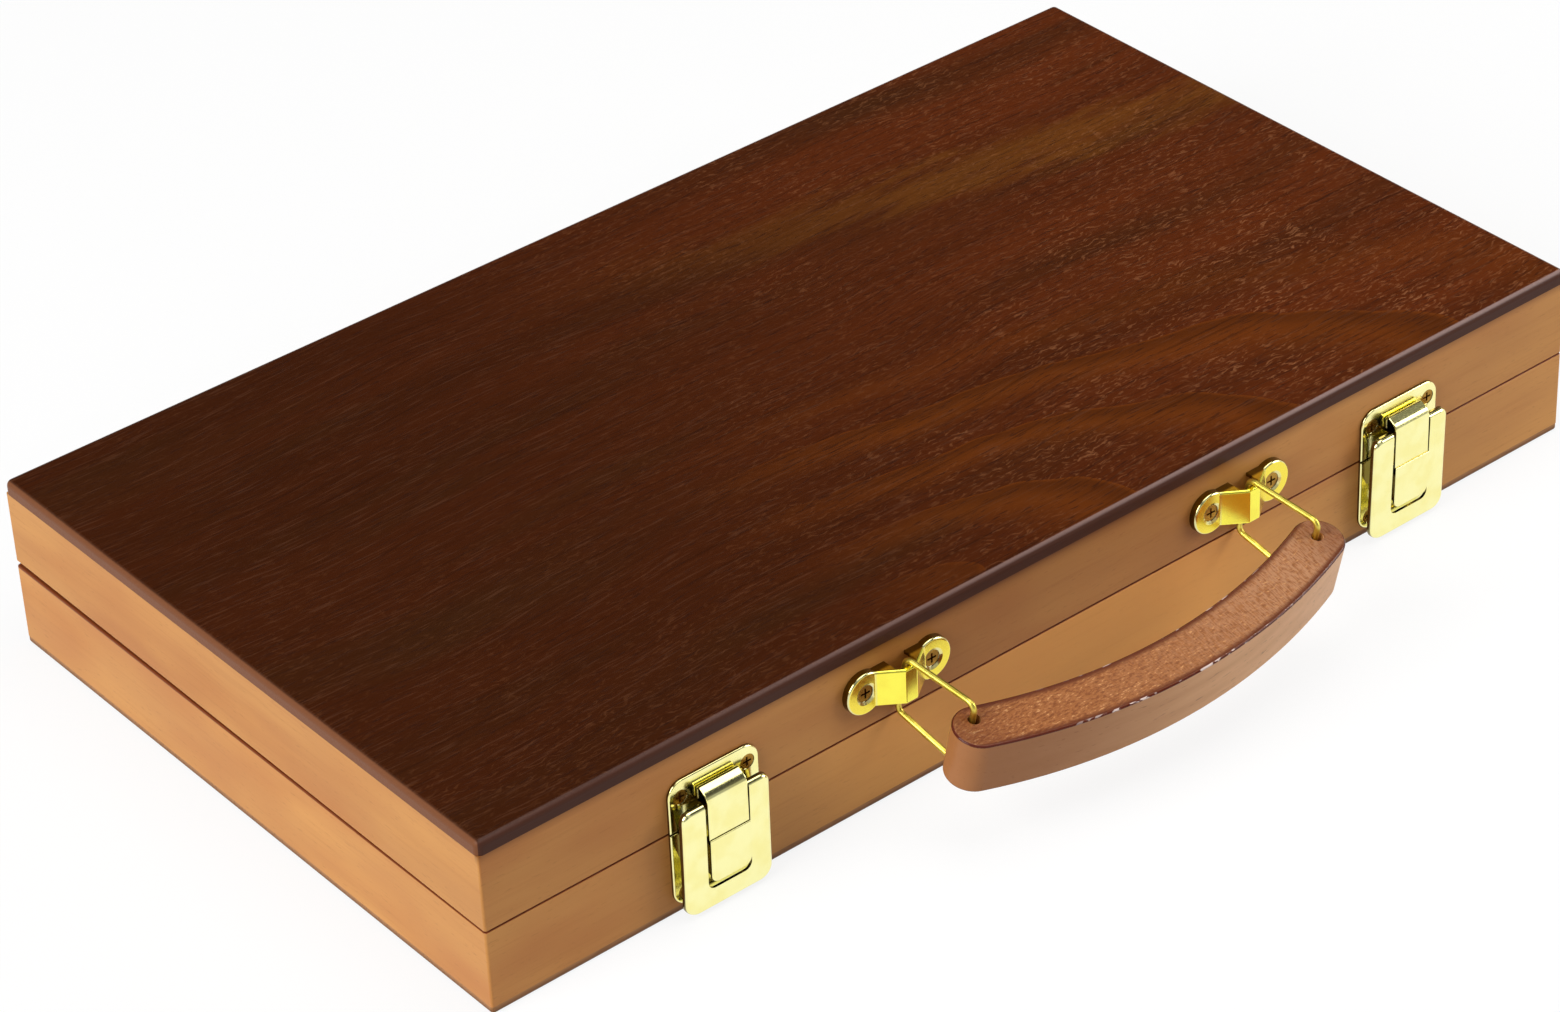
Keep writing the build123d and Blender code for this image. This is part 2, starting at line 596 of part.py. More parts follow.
def bracket():
    """Pressed strap: two pan-shaped ears and a raised bridge, open where the wire comes out."""
    t = BRACKET_T
    body = bridge_skin()
    room = Rectangle(2 * BRACKET_SCREW_X, BRIDGE_H - 2 * t)
    room = room + Rectangle(2 * MOUTH_HALF, BRIDGE_H + OVER)
    for x in (-BRACKET_SCREW_X, BRACKET_SCREW_X):
        ear = Pos(x, -EAR_RISE / 2, 0) * Rot(90, 0, 0) * Cylinder(EAR_R, EAR_RISE)
        body = body + fillet(ear.edges().sort_by(Axis.Y)[:1], BRACKET_EDGE)
        room = room + Pos(x, 0) * Circle(EAR_R - t)
    hollow = extrude(Plane.XZ * room, amount=CREST_OFF)
    body = body - (hollow & bridge_prism(t, BRIDGE_H))
    dish = Cone(DISH_R, BRACKET_HEAD_R + FIT, DISH_DEPTH)
    for x in (-BRACKET_SCREW_X, BRACKET_SCREW_X):
        body = body - Pos(x, DISH_DEPTH / 2 - EAR_RISE, 0) * Rot(-90, 0, 0) * dish
    return body


def axes():
    """Unit vectors of the tilted handle: along the wire, outward, and sideways."""
    a = radians(LOOP_TILT)
    along = Vector(0, -sin(a), cos(a))
    out = Vector(0, -cos(a), -sin(a))
    return along, out, Vector(1, 0, 0)


def loop_centre(i):
    """Centre of a loop's hinge run behind its bridge."""
    return Vector(BRACKET_X[i], FRONT - LOOP_OFF, BRACKET_Z[i] - LOOP_DROP)


def arm_vector():
    """From the hinge run to the grip's hole, in the rest pose."""
    along, out, side = axes()
    swing = radians(LOOP_SWING)
    return (out * cos(swing) + side * sin(swing)) * ARM


def wire_loop(i):
    """Bent wire: short run in the bracket, long run in the grip, where its ends meet."""
    along = axes()[0]
    c = loop_centre(i)
    far = c + arm_vector()
    points = [
        far + along * (WIRE_SPLIT / 2),
        far + along * (LOOP_OUTER / 2),
        c + along * (LOOP_INNER / 2),
        c - along * (LOOP_INNER / 2),
        far - along * (LOOP_OUTER / 2),
        far - along * (WIRE_SPLIT / 2),
    ]
    path = FilletPolyline(*points, radius=WIRE_BEND)
    ring = Plane(origin=points[0], z_dir=along) * Circle(WIRE_R)
    return sweep(ring, path=path)


def grip_outline(half):
    """Banana outline of even width with round ends; x along the grip, y outwards."""
    radius = (half * half + GRIP_RISE * GRIP_RISE) / (2 * GRIP_RISE)
    spread = degrees(asin(half / radius))
    middle = (0, GRIP_END_Y + GRIP_RISE - radius)
    return SlotArc(CenterArc(middle, radius, 90 - spread, 2 * spread), GRIP_W)


def grip():
    """Curved wooden grip with a hole at each end for the wire."""
    along, out = axes()[:2]
    start = loop_centre(0) + arm_vector()
    end = loop_centre(1) + arm_vector()
    half = (end - start).length / 2
    body = extrude(grip_outline(half), amount=GRIP_T / 2, both=True)
    faces = body.faces().sort_by(Axis.Z)
    body = fillet(faces[-1].edges() + faces[0].edges(), GRIP_ROUND)
    body = Pos(GRIP_SHIFT, 0, 0) * Rot(0, 0, GRIP_TURN) * body
    for sign in (-1, 1):
        body = body - Pos(sign * half, 0, 0) * Cylinder(GRIP_HOLE_R, 2 * GRIP_T)
    run = (end - start).normalized()
    down = run.cross(out).normalized()
    middle = (start + end) * 0.5 - along * GRIP_DROP + out * GRIP_SAG
    return Plane(origin=middle, x_dir=run, z_dir=down) * body


def handle():
    """Brackets, wire loops, grip and screws."""
    rooms = bracket_screws(screw_room)
    for i, side in enumerate(("left", "right")):
        strap = Pos(BRACKET_X[i], FRONT, BRACKET_Z[i]) * bracket()
        for k in (2 * i, 2 * i + 1):
            strap = strap - rooms[k]
        write(f"{side}_bracket", strap)
        write(f"{side}_loop", wire_loop(i))
    write("grip", grip())
    write("bracket_screws", Compound(children=bracket_screws(screw)))


def main():
    """Build every node."""
    os.makedirs("parts", exist_ok=True)
    base_wood()
    lid_wood()
    hinges()
    latches()
    handle()


main()
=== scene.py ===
# %% [markdown]
# # A wooden tile-game case, dressed for its portrait
#
# The case is two shallow wooden trays hinged along the back. The front carries two draw latches and a
# swinging carry handle. The rigid model arrives as a fixed frame, so this script only gives it surfaces,
# two sheets of felt, a floor, lamps and a camera. Everything is in metres, +Z up, with the origin at
# the middle of the case's underside.

import math

import bpy
import numpy as np
from mathutils import Matrix, Vector


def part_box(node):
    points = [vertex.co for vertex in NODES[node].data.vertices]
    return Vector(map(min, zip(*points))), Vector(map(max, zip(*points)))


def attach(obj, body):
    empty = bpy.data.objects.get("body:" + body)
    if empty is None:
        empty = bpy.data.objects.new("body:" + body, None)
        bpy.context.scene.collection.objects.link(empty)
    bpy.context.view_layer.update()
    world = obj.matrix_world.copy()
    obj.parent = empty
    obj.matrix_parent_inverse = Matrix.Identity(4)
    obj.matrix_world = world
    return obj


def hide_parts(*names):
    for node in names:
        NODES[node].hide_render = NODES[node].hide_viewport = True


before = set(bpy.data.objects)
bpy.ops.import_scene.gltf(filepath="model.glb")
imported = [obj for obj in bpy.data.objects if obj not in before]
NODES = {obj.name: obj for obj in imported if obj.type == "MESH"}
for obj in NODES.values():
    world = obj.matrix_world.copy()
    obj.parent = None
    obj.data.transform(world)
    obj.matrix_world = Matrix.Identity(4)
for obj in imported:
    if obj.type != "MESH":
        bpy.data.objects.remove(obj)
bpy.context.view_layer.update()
MM = 0.001
HALF_W, HALF_D, CASE_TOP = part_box("lid_panel")[1]
FRONT = -HALF_D
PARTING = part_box("base_front_rail")[1].z
bpy.context.scene.view_settings.view_transform = "Standard"
print("case", round(HALF_W * 2 / MM, 1), "x", round(HALF_D * 2 / MM, 1), "x", round(CASE_TOP / MM, 1), "mm")
print("the trays meet", round(PARTING / MM, 1), "mm above the table")

# %% [markdown]
# ## Camera
#
# A product shot from the front left, above the lid, with a long lens so that the parallel edges
# hardly converge. The angles below are an orbit: azimuth round the vertical, elevation above the floor
# and a small roll. The same place could be set by hand with three location and rotation values, but an
# orbit says in words where the viewer stands.

# %% Place the camera on an orbit round the case
CAMERA_AZIMUTH = math.radians(-38.118)
CAMERA_ELEVATION = math.radians(34.573)
CAMERA_ROLL = math.radians(-2.748)
CAMERA_DISTANCE = 1.29384
CAMERA_SLIDE = (-0.00749, 0.00716)
LENS_MM = 112.66
SENSOR_MM = 36.0
CLIP_NEAR, CLIP_FAR = 0.05, 50.0


def orbit_camera():
    """Camera axes: 'back' points from the case to the viewer, 'right' is level, 'up' closes the frame;
    the roll then turns right and up about back. The camera slides a little along its own right and up."""
    az, el, roll = CAMERA_AZIMUTH, CAMERA_ELEVATION, CAMERA_ROLL
    back = Vector((math.sin(az) * math.cos(el), -math.cos(az) * math.cos(el), math.sin(el)))
    level = Vector((math.cos(az), math.sin(az), 0.0))
    tall = back.cross(level)
    right = level * math.cos(roll) + tall * math.sin(roll)
    up = tall * math.cos(roll) - level * math.sin(roll)
    place = back * CAMERA_DISTANCE + right * CAMERA_SLIDE[0] + up * CAMERA_SLIDE[1]
    data = bpy.data.cameras.new("portrait_camera")
    data.sensor_width = SENSOR_MM
    data.lens = LENS_MM
    data.clip_start, data.clip_end = CLIP_NEAR, CLIP_FAR
    camera = bpy.data.objects.new("portrait_camera", data)
    turn = Matrix((right, up, back)).transposed().to_4x4()
    camera.matrix_world = Matrix.Translation(place) @ turn
    bpy.context.scene.collection.objects.link(camera)
    bpy.context.scene.camera = camera
    return camera


camera = orbit_camera()
print("camera at", [round(v, 3) for v in camera.matrix_world.translation])

# %% [markdown]
# ## Tools for materials
#
# Colours are written as sRGB hex values, as a paint chart gives them, and one function turns them to the
# linear values that a shader works in. One more function adds a node with its settings and its links,
# so that each material below reads as a list of what it does. An input may be a number, a colour, an
# output socket, or another node, whose first output is then meant.

# %% Colour and node helpers


def linear(hex_colour):
    """sRGB hex to linear RGBA: each channel c becomes c/12.92 below 0.04045, else ((c+0.055)/1.055)^2.4."""
    channels = np.array([int(hex_colour[i : i + 2], 16) for i in (1, 3, 5)]) / 255.0
    low = channels / 12.92
    high = ((channels + 0.055) / 1.055) ** 2.4
    return (*np.where(channels <= 0.04045, low, high).tolist(), 1.0)


def add(tree, kind, inputs=(), **settings):
    """Adds a shader node, sets its options, and fills or links its inputs, given in order or by name."""
    made = tree.nodes.new("ShaderNode" + kind)
    for name, value in settings.items():
        setattr(made, name, value)
    pairs = inputs.items() if isinstance(inputs, dict) else enumerate(inputs)
    for key, value in pairs:
        if isinstance(value, bpy.types.Node):
            value = value.outputs[0]
        if isinstance(value, bpy.types.NodeSocket):
            tree.links.new(value, made.inputs[key])
        else:
            made.inputs[key].default_value = value
    return made


print("#c89058 is", [round(v, 3) for v in linear("#c89058")])

# %% [markdown]
# ### Starting, closing and putting on a material
#
# Every finish below is a node tree that starts from the Object coordinates and ends in one Principled
# shader. It could be built by hand in the shader editor, but a script makes the same one each time.

# %% Material helpers


def new_material(name):
    """An empty material: its tree, and the Object coordinates that every pattern here starts from."""
    material = bpy.data.materials.new(name)
    material.use_nodes = True
    material.node_tree.nodes.clear()
    return material, material.node_tree, add(material.node_tree, "TexCoord").outputs["Object"]


def finish_material(tree, **surface):
    """Closes a tree with a Principled shader and its output; underscores in the names stand for spaces."""
    shader = add(tree, "BsdfPrincipled", {key.replace("_", " "): value for key, value in surface.items()})
    add(tree, "OutputMaterial", [shader])


def dress(names, material):
    """Puts a material on parts of the fixed frame."""
    for name in names:
        mesh = NODES[name].data
        mesh.materials.clear()
        mesh.materials.append(material)


print("parts to dress:", len(NODES))

# %% [markdown]
# ## Wood figure
#
# Wood figure is a stack of patterns that are all long along the grain and narrow across it: broad
# tone bands, growth lines and pores. Each is a Noise texture that reads the Object coordinates, which
# are metres here, after a Mapping node has divided them by the real length and width of the feature.
# An image of wood would be quicker, but it would repeat and would not run true on a mitred frame.
#
# Noise mostly stays between 0.3 and 0.7. So limits such as 0.5 and 0.72 pick its peaks, and limits in
# falling order pick its hollows. The share is how much of the new tone is laid over the ground there.

# %% Grain, its sway, and tones laid over a ground
ALONG_X, ALONG_Y = 0.0, math.radians(90)
NOISE_MIDDLE = (0.5, 0.5, 0.5)


def grain(tree, place, turn, length, width, shift, detail=2.0, rough=0.55):
    """Noise of (x / length, y / width, z / width) once the grain is turned to x; shift picks another cut."""
    level = add(tree, "Mapping", {"Vector": place, "Rotation": (0, 0, turn)})
    size = (1 / length, 1 / width, 1 / width)
    cut = add(tree, "Mapping", {"Vector": level, "Scale": size, "Location": (shift, shift, shift)})
    return add(tree, "TexNoise", {"Vector": cut, "Scale": 1.0, "Detail": detail, "Roughness": rough})


def sway(tree, place, wave, push):
    """The same coordinates, pushed about by a slow noise of one wave length, so that lines wander."""
    drift = add(tree, "TexNoise", {"Vector": place, "Scale": 1 / wave, "Detail": 2.0}).outputs["Color"]
    centred = add(tree, "VectorMath", [drift, NOISE_MIDDLE], operation="SUBTRACT")
    scaled = add(tree, "VectorMath", [centred, push], operation="MULTIPLY")
    return add(tree, "VectorMath", [place, scaled], operation="ADD").outputs[0]


def lay(tree, ground, pattern, limits, share, tone, curve="SMOOTHSTEP"):
    """Lays a tone over the ground where a pattern passes from one limit to the other, up to a share."""
    cover = add(tree, "MapRange", [pattern, *limits, 0, share], interpolation_type=curve)
    return add(tree, "MixRGB", [cover, ground, linear(tone)])


print("grain runs at", ALONG_X, "or", round(ALONG_Y, 3), "radians")

# %% [markdown]
# ## The walnut lid
#
# The lid panel is faced with walnut veneer, stained dark and lacquered thin enough that the open pores
# still show. To the eye that is a near-black brown on the left that warms toward the right. It could be
# one Wave texture, but veneer has no even rings, so the ground is a slope of warmth from left to right
# with dark bands and olive clouds laid over it, all long in x and swaying a little.

# %% Walnut tones and the broad ground
WALNUT = {
    "dark": "#321606",
    "left": "#3f1b08",
    "right": "#5f290d",
    "amber": "#704114",
    "olive": "#361f0c",
    "line": "#2a1005",
    "thread": "#6a4531",
    "painted_glint": "#ab7048",
    # painted glint tone, where the lacquer in the pores would catch the light
    "arch": "#73390e",
    "edge": "#4b2d22",
    "edge_end": "#774a30",
    # painted highlight on the edge's rounding, front and back, then on the ends in x
    "painted_highlight_and_wear": "#8d746d",
    "painted_highlight_end": "#6a4a38",
}
WALNUT_CUTS = {  # length along the grain, width across it, and which cut of the noise
    "bands": (220 * MM, 17 * MM, 0.4),
    "clouds": (160 * MM, 26 * MM, 5.2),
    "rags": (30 * MM, 5 * MM, 6.1),
    "lines": (60 * MM, 1.3 * MM, 1.7),
    "silk": (12 * MM, 0.6 * MM, 7.3),
    "pores": (5 * MM, 0.5 * MM, 5.3),
    "marks": (3.4 * MM, 0.85 * MM, 8.9),
}
WALNUT_SWAY = (120 * MM, (10 * MM, 16 * MM, 0))  # wave length, then the push in x, y and z
WARM_FROM = -0.7 * HALF_W


def walnut_ground(tree, axes, slow):
    """A smooth step of x from the left tone to the right tone, then dark bands and olive clouds."""
    warmth = add(tree, "MapRange", [axes, WARM_FROM, HALF_W], interpolation_type="SMOOTHSTEP")
    ground = add(tree, "MixRGB", [warmth, linear(WALNUT["left"]), linear(WALNUT["right"])])
    bands = grain(tree, slow, ALONG_X, *WALNUT_CUTS["bands"])
    ground = lay(tree, ground, bands, (0.62, 0.36), 0.36, WALNUT["dark"], "LINEAR")
    clouds = grain(tree, slow, ALONG_X, *WALNUT_CUTS["clouds"])
    return lay(tree, ground, clouds, (0.5, 0.75), 0.6, WALNUT["olive"], "LINEAR")


print("walnut patterns:", len(WALNUT_CUTS))

# %% [markdown]
# ### The amber streak
#
# One streak of paler sapwood took the stain as amber. It drifts from the back middle toward the
# right-hand edge. A stripe from a Color Ramp would have straight sides, so here it is the distance from
# a sloping line, with a noise added to it that tears the sides.

# %% Amber streak
STREAK_Y = 66 * MM
STREAK_SLOPE = -0.19
STREAK_HALF = 15 * MM
STREAK_RAG = 7 * MM
STREAK_STARTS = (-40 * MM, 120 * MM)
STREAK_SHARE = 0.62


def amber_streak(tree, ground, axes, slow):
    """Distance |y - (slope x + y0)| plus a noise of a few mm: amber at 0, gone at the half width."""
    slope = add(tree, "Math", [axes, STREAK_SLOPE], operation="MULTIPLY")
    middle = add(tree, "Math", [slope, STREAK_Y], operation="ADD")
    drifted = add(tree, "SeparateXYZ", [slow]).outputs[1]
    off = add(tree, "Math", [drifted, middle], operation="SUBTRACT")
    off = add(tree, "Math", [off], operation="ABSOLUTE")
    rags = grain(tree, slow, ALONG_X, *WALNUT_CUTS["rags"], 3.0)
    rags = add(tree, "MapRange", [rags, 0.3, 0.7, -STREAK_RAG, STREAK_RAG])
    off = add(tree, "Math", [off, rags], operation="ADD")
    streak = add(tree, "MapRange", [off, STREAK_HALF, 0], interpolation_type="SMOOTHSTEP")
    starts = [axes, *STREAK_STARTS, 0, STREAK_SHARE]
    starts = add(tree, "MapRange", starts, interpolation_type="SMOOTHSTEP")
    streak = add(tree, "Math", [streak, starts], operation="MULTIPLY")
    return add(tree, "MixRGB", [streak, ground, linear(WALNUT["amber"])])


print("amber streak about", round(2 * STREAK_HALF / MM), "mm wide")

# %% [markdown]
# ### Growth arches
#
# Where the veneer was cut almost along the growth rings, they open into nested arches on the right, and
# the wood inside each arch is smoother and more orange. Rings round a centre on the panel's front edge,
# drawn out long in x, give that shape with one Length node; drawn curves would need one object for
# each arch.

# %% Growth arches
ARCH_SWAY = (45 * MM, (30 * MM, 14 * MM, 0))
ARCH_CENTRE = (-80 * MM, -100 * MM)
ARCH_SLENDER = 0.34
ARCH_STEP = 18.5 * MM
ARCH_REACH = 96 * MM
ARCH_FADE = (-70 * MM, 10 * MM)
ARCH_TONE = (0.35, 0.85)  # limits in the fraction of a ring: its tone, then where the line starts and ends
LINE_STARTS, LINE_ENDS = (0.70, 0.95), (1.0, 0.96)
ARCH_SHARE = 0.6
ARCH_LINE_SHARE = 0.42


def growth_arches(tree, ground, axes, place):
    """Distance d = sqrt((s (x - x0))^2 + (y - y0)^2) with s below 1 gives ellipses long in x. The
    fraction of d / step climbs from 0 to 1 in each ring: it is the tone inside an arch, and its
    last part is the dark line that closes the arch. Both fade out beyond a reach and to the left."""
    wander = sway(tree, place, *ARCH_SWAY)
    centre = add(tree, "VectorMath", [wander, (*ARCH_CENTRE, 0)], operation="SUBTRACT")
    oval = add(tree, "VectorMath", [centre, (ARCH_SLENDER, 1, 0)], operation="MULTIPLY")
    distance = add(tree, "VectorMath", [oval], operation="LENGTH").outputs["Value"]
    turns = add(tree, "Math", [distance, ARCH_STEP], operation="DIVIDE")
    ring = add(tree, "Math", [turns], operation="FRACT")
    near = [distance, ARCH_REACH, ARCH_REACH * 0.8]
    near = add(tree, "MapRange", near, interpolation_type="SMOOTHSTEP")
    right = add(tree, "MapRange", [axes, *ARCH_FADE], interpolation_type="SMOOTHSTEP")
    near = add(tree, "Math", [near, right], operation="MULTIPLY")
    tone = add(tree, "MapRange", [ring, *ARCH_TONE], interpolation_type="SMOOTHSTEP")
    rise = add(tree, "MapRange", [ring, *LINE_STARTS], interpolation_type="SMOOTHSTEP")
    fall = add(tree, "MapRange", [ring, *LINE_ENDS], interpolation_type="SMOOTHSTEP")
    line = add(tree, "Math", [rise, fall], operation="MULTIPLY")
    inside = add(tree, "Math", [tone, near], operation="MULTIPLY")
    share = add(tree, "Math", [inside, ARCH_SHARE], operation="MULTIPLY")
    ground = add(tree, "MixRGB", [share, ground, linear(WALNUT["arch"])])
    closing = add(tree, "Math", [line, near], operation="MULTIPLY")
    closing = add(tree, "Math", [closing, ARCH_LINE_SHARE], operation="MULTIPLY")
    return add(tree, "MixRGB", [closing, ground, linear(WALNUT["line"])]), inside


print("walnut arches every", round(ARCH_STEP / MM, 1), "mm")

# %% [markdown]
# ### Lines, pores and painted glints
#
# Growth lines and open pores are the fine figure of walnut, and both are hollows that the bump needs
# too. On the right, a sparkle of short pale marks is painted in as glints where the lacquer in the pores
# would catch the light, but not inside the smooth arches. Pores are 4 mm by 0.3 mm on real veneer, but a
# render of this size can hold no finer than 0.5 mm. Displacing the surface would cost millions of triangles
# for the same effect.

# %% Fine figure and painted glints
FLECK_SWAY = (5 * MM, (4 * MM, 4 * MM, 0))
FLECK_PATCH = 30 * MM
FLECK_RIGHT = (-60 * MM, 120 * MM)
FLECK_SHARE = (0.06, 0.42)
FLECK_BACK, FLECK_FRONT = 0.2 * HALF_D, -0.8 * HALF_D


def fine_figure(tree, ground, slow):
    """Growth lines 1.3 mm wide, silk 0.6 mm wide and pores 0.5 mm wide. Hollows are lines plus pores."""
    lines = grain(tree, slow, ALONG_X, *WALNUT_CUTS["lines"], 3.0, 0.6)
    threads = add(tree, "MapRange", [lines, 0.5, 0.72, 0, 0.5], interpolation_type="SMOOTHSTEP")
    ground = add(tree, "MixRGB", [threads, ground, linear(WALNUT["line"])])
    silk = grain(tree, slow, ALONG_X, *WALNUT_CUTS["silk"], 1.0)
    ground = lay(tree, ground, silk, (0.56, 0.74), 0.22, WALNUT["thread"])
    pores = grain(tree, slow, ALONG_X, *WALNUT_CUTS["pores"], 1.0, 0.6)
    pits = add(tree, "MapRange", [pores, 0.58, 0.72, 0, 0.6], interpolation_type="SMOOTHSTEP")
    ground = add(tree, "MixRGB", [pits, ground, linear(WALNUT["line"])])
    hollows = add(tree, "Math", [pits, threads], operation="ADD")
    return ground, pores, hollows


def painted_glint_flecks(tree, ground, axes, place, inside):
    """Painted glints: curly marks 3.4 by 0.85 mm, times 30 mm patches, times a slope to the right and front.
    """
    curly = sway(tree, place, *FLECK_SWAY)
    marks = grain(tree, curly, ALONG_X, *WALNUT_CUTS["marks"], 2.0, 0.65)
    flecks = add(tree, "MapRange", [marks, 0.52, 0.70], interpolation_type="SMOOTHSTEP")
    patches = add(tree, "TexNoise", {"Vector": place, "Scale": 1 / FLECK_PATCH, "Detail": 1.0})
    crowd = add(tree, "MapRange", [patches, 0.35, 0.65, 0.35, 1.0])
    rightward = add(tree, "MapRange", [axes, *FLECK_RIGHT, *FLECK_SHARE])
    forward = add(tree, "MapRange", [axes.outputs[1], FLECK_BACK, FLECK_FRONT, 0.7, 1.5])
    smooth = add(tree, "Math", [1.0, inside], operation="SUBTRACT")
    for factor in (rightward, forward, smooth):
        crowd = add(tree, "Math", [crowd, factor], operation="MULTIPLY")
    flecks = add(tree, "Math", [flecks, crowd], operation="MULTIPLY")
    return add(tree, "MixRGB", [flecks, ground, linear(WALNUT["painted_glint"])])


print("share of fleck tone", FLECK_SHARE[0], "on the left to", FLECK_SHARE[1], "on the right")

# %% [markdown]
# ### The panel's edge
#
# The edge of the panel has a tone of its own, paler on the ends in x than on the front and back, and the
# rounding over the edge carries a painted greyish highlight, mostly on the right. Where a point is can be
# told from its coordinates, and the rounding from its normal in Object coordinates, so no second mesh is
# needed.

# %% Panel edge and the whole veneer
EDGE_BAND = 1.1 * MM
EDGE_TURNS, FACE_TURNS = (0.5, 0.85), (0.985, 0.92)  # limits in the z of the normal
# the painted highlight grows from the left toward the right
EDGE_HIGHLIGHT_SPAN = (-0.8 * HALF_W, 0.5 * HALF_W)


def panel_edge(tree, ground, axes):
    """With o = max(|x| - half width, |y| - half depth), the edge tone holds where o is near 0. The
    rounding, where the z of the normal lies between 0.5 and 0.985, takes a painted highlight."""
    wide = add(tree, "Math", [axes], operation="ABSOLUTE")
    deep = add(tree, "Math", [axes.outputs[1]], operation="ABSOLUTE")
    out_x = add(tree, "Math", [wide, HALF_W], operation="SUBTRACT")
    out_y = add(tree, "Math", [deep, HALF_D], operation="SUBTRACT")
    out = add(tree, "Math", [out_x, out_y], operation="MAXIMUM")
    rim = [out, -EDGE_BAND, -EDGE_BAND * 0.5]
    rim = add(tree, "MapRange", rim, interpolation_type="SMOOTHSTEP")
    end = add(tree, "Math", [out_x, out_y], operation="GREATER_THAN")
    edge = add(tree, "MixRGB", [end, linear(WALNUT["edge"]), linear(WALNUT["edge_end"])])
    rounding = add(tree, "MixRGB", [end, linear(WALNUT["painted_highlight_and_wear"]), linear(WALNUT["painted_highlight_end"])])
    ground = add(tree, "MixRGB", [rim, ground, edge])
    # the rounding gets a painted highlight, stronger toward the right
    normal = tree.nodes["Texture Coordinate"].outputs["Normal"]
    facing = add(tree, "SeparateXYZ", [normal]).outputs[2]
    over = add(tree, "MapRange", [facing, *EDGE_TURNS], interpolation_type="SMOOTHSTEP")
    under = add(tree, "MapRange", [facing, *FACE_TURNS], interpolation_type="SMOOTHSTEP")
    painted_highlight_and_wear = add(tree, "Math", [over, under], operation="MULTIPLY")
    painted_light = add(tree, "MapRange", [axes, *EDGE_HIGHLIGHT_SPAN, 0.12, 1.0])
    painted_highlight_and_wear = add(tree, "Math", [painted_highlight_and_wear, painted_light], operation="MULTIPLY")
    return add(tree, "MixRGB", [painted_highlight_and_wear, ground, rounding])


def walnut_veneer():
    """Layers, from broad to fine: ground, streak, arches, lines and pores, painted glints, and the edge with
    its painted highlight.
    """
    material, tree, place = new_material("walnut_veneer_stained_and_lacquered")
    axes = add(tree, "SeparateXYZ", [place])
    slow = sway(tree, place, *WALNUT_SWAY)
    ground = walnut_ground(tree, axes, slow)
    ground = amber_streak(tree, ground, axes, slow)
    ground, inside = growth_arches(tree, ground, axes, place)
    ground, pores, hollows = fine_figure(tree, ground, slow)
    ground = painted_glint_flecks(tree, ground, axes, place, inside)
    ground = panel_edge(tree, ground, axes)
    rough = add(tree, "MapRange", [pores, 0.5, 0.75, 0.30, 0.5])
    relief = {"Height": hollows, "Strength": 0.3, "Distance": 0.08 * MM}
    bump = add(tree, "Bump", relief, invert=True)
    finish_material(tree, Base_Color=ground, Roughness=rough, Specular_IOR_Level=0.09, Normal=bump)
    return material


dress(["lid_panel"], walnut_veneer())
print("lid panel dressed in walnut")

# %% [markdown]
# ## The rails
#
# The four walls of each tray and the dividers in the base are a plain close-grained softwood, honey
# stained and sealed to a satin sheen. The eye gets almost no figure: soft clouds of tone, reddish
# blushes, a few faint lines and fine pores. One material could do if each rail had axes of its own, but
# all the parts share the case's axes. So there is one for the rails that run in x and one for those
# that run in y, and they differ only in the turn of the grain.

# %% Softwood tones and figure
HONEY = {
    "pale": "#da9c57",
    "body": "#cc8e4c",
    "dark": "#b8763a",
    "red": "#b76c36",
    "pore": "#9c6230",
    "shade": "#6c3a12",
    # painted light for the base's front behind the handle
    "painted_light": "#f4b05c",
    # painted shade of the gap where the two trays meet
    "seam_shade": "#7c3c1a",
}
HONEY_CUTS = {  # length along the grain, width across it, and which cut of the noise
    "clouds": (70 * MM, 26 * MM, 2.2),
    "blush": (60 * MM, 20 * MM, 9.4),
    "bands": (220 * MM, 6 * MM, 0.7),
    "lines": (45 * MM, 0.9 * MM, 4.1),
    "pores": (3 * MM, 0.45 * MM, 6.6),
}


def honey_figure(tree, slow, turn):
    """Clouds 70 mm long, blushes 60 mm long, bands 6 mm wide, threads 0.9 mm wide, pores 3 mm long."""
    clouds = add(tree, "MapRange", [grain(tree, slow, turn, *HONEY_CUTS["clouds"]), 0.32, 0.68])
    ground = add(tree, "MixRGB", [clouds, linear(HONEY["body"]), linear(HONEY["pale"])])
    blush = grain(tree, slow, turn, *HONEY_CUTS["blush"])
    ground = lay(tree, ground, blush, (0.45, 0.72), 0.5, HONEY["red"], "LINEAR")
    bands = grain(tree, slow, turn, *HONEY_CUTS["bands"], 3.0)
    ground = lay(tree, ground, bands, (0.42, 0.78), 0.25, HONEY["dark"], "LINEAR")
    lines = grain(tree, slow, turn, *HONEY_CUTS["lines"])
    ground = lay(tree, ground, lines, (0.5, 0.78), 0.28, HONEY["dark"])
    pores = grain(tree, slow, turn, *HONEY_CUTS["pores"], 1.0)
    ground = lay(tree, ground, pores, (0.64, 0.78), 0.3, HONEY["pore"])
    return ground, clouds, lines


print("rail patterns:", len(HONEY_CUTS))

# %% [markdown]
# ### Painted shade and light on the rails
#
# The lid's rails are a little darker than the base's. On the front wall, a painted shadow falls from
# under the lid panel, and behind the handle, painted shade darkens the lid and painted light brightens the
# base. Where the two trays meet, the shade in the gap is painted as a dark thread that is wider toward
# the back. A painted image could hold such marks, but each one is only a matter of where a point is.

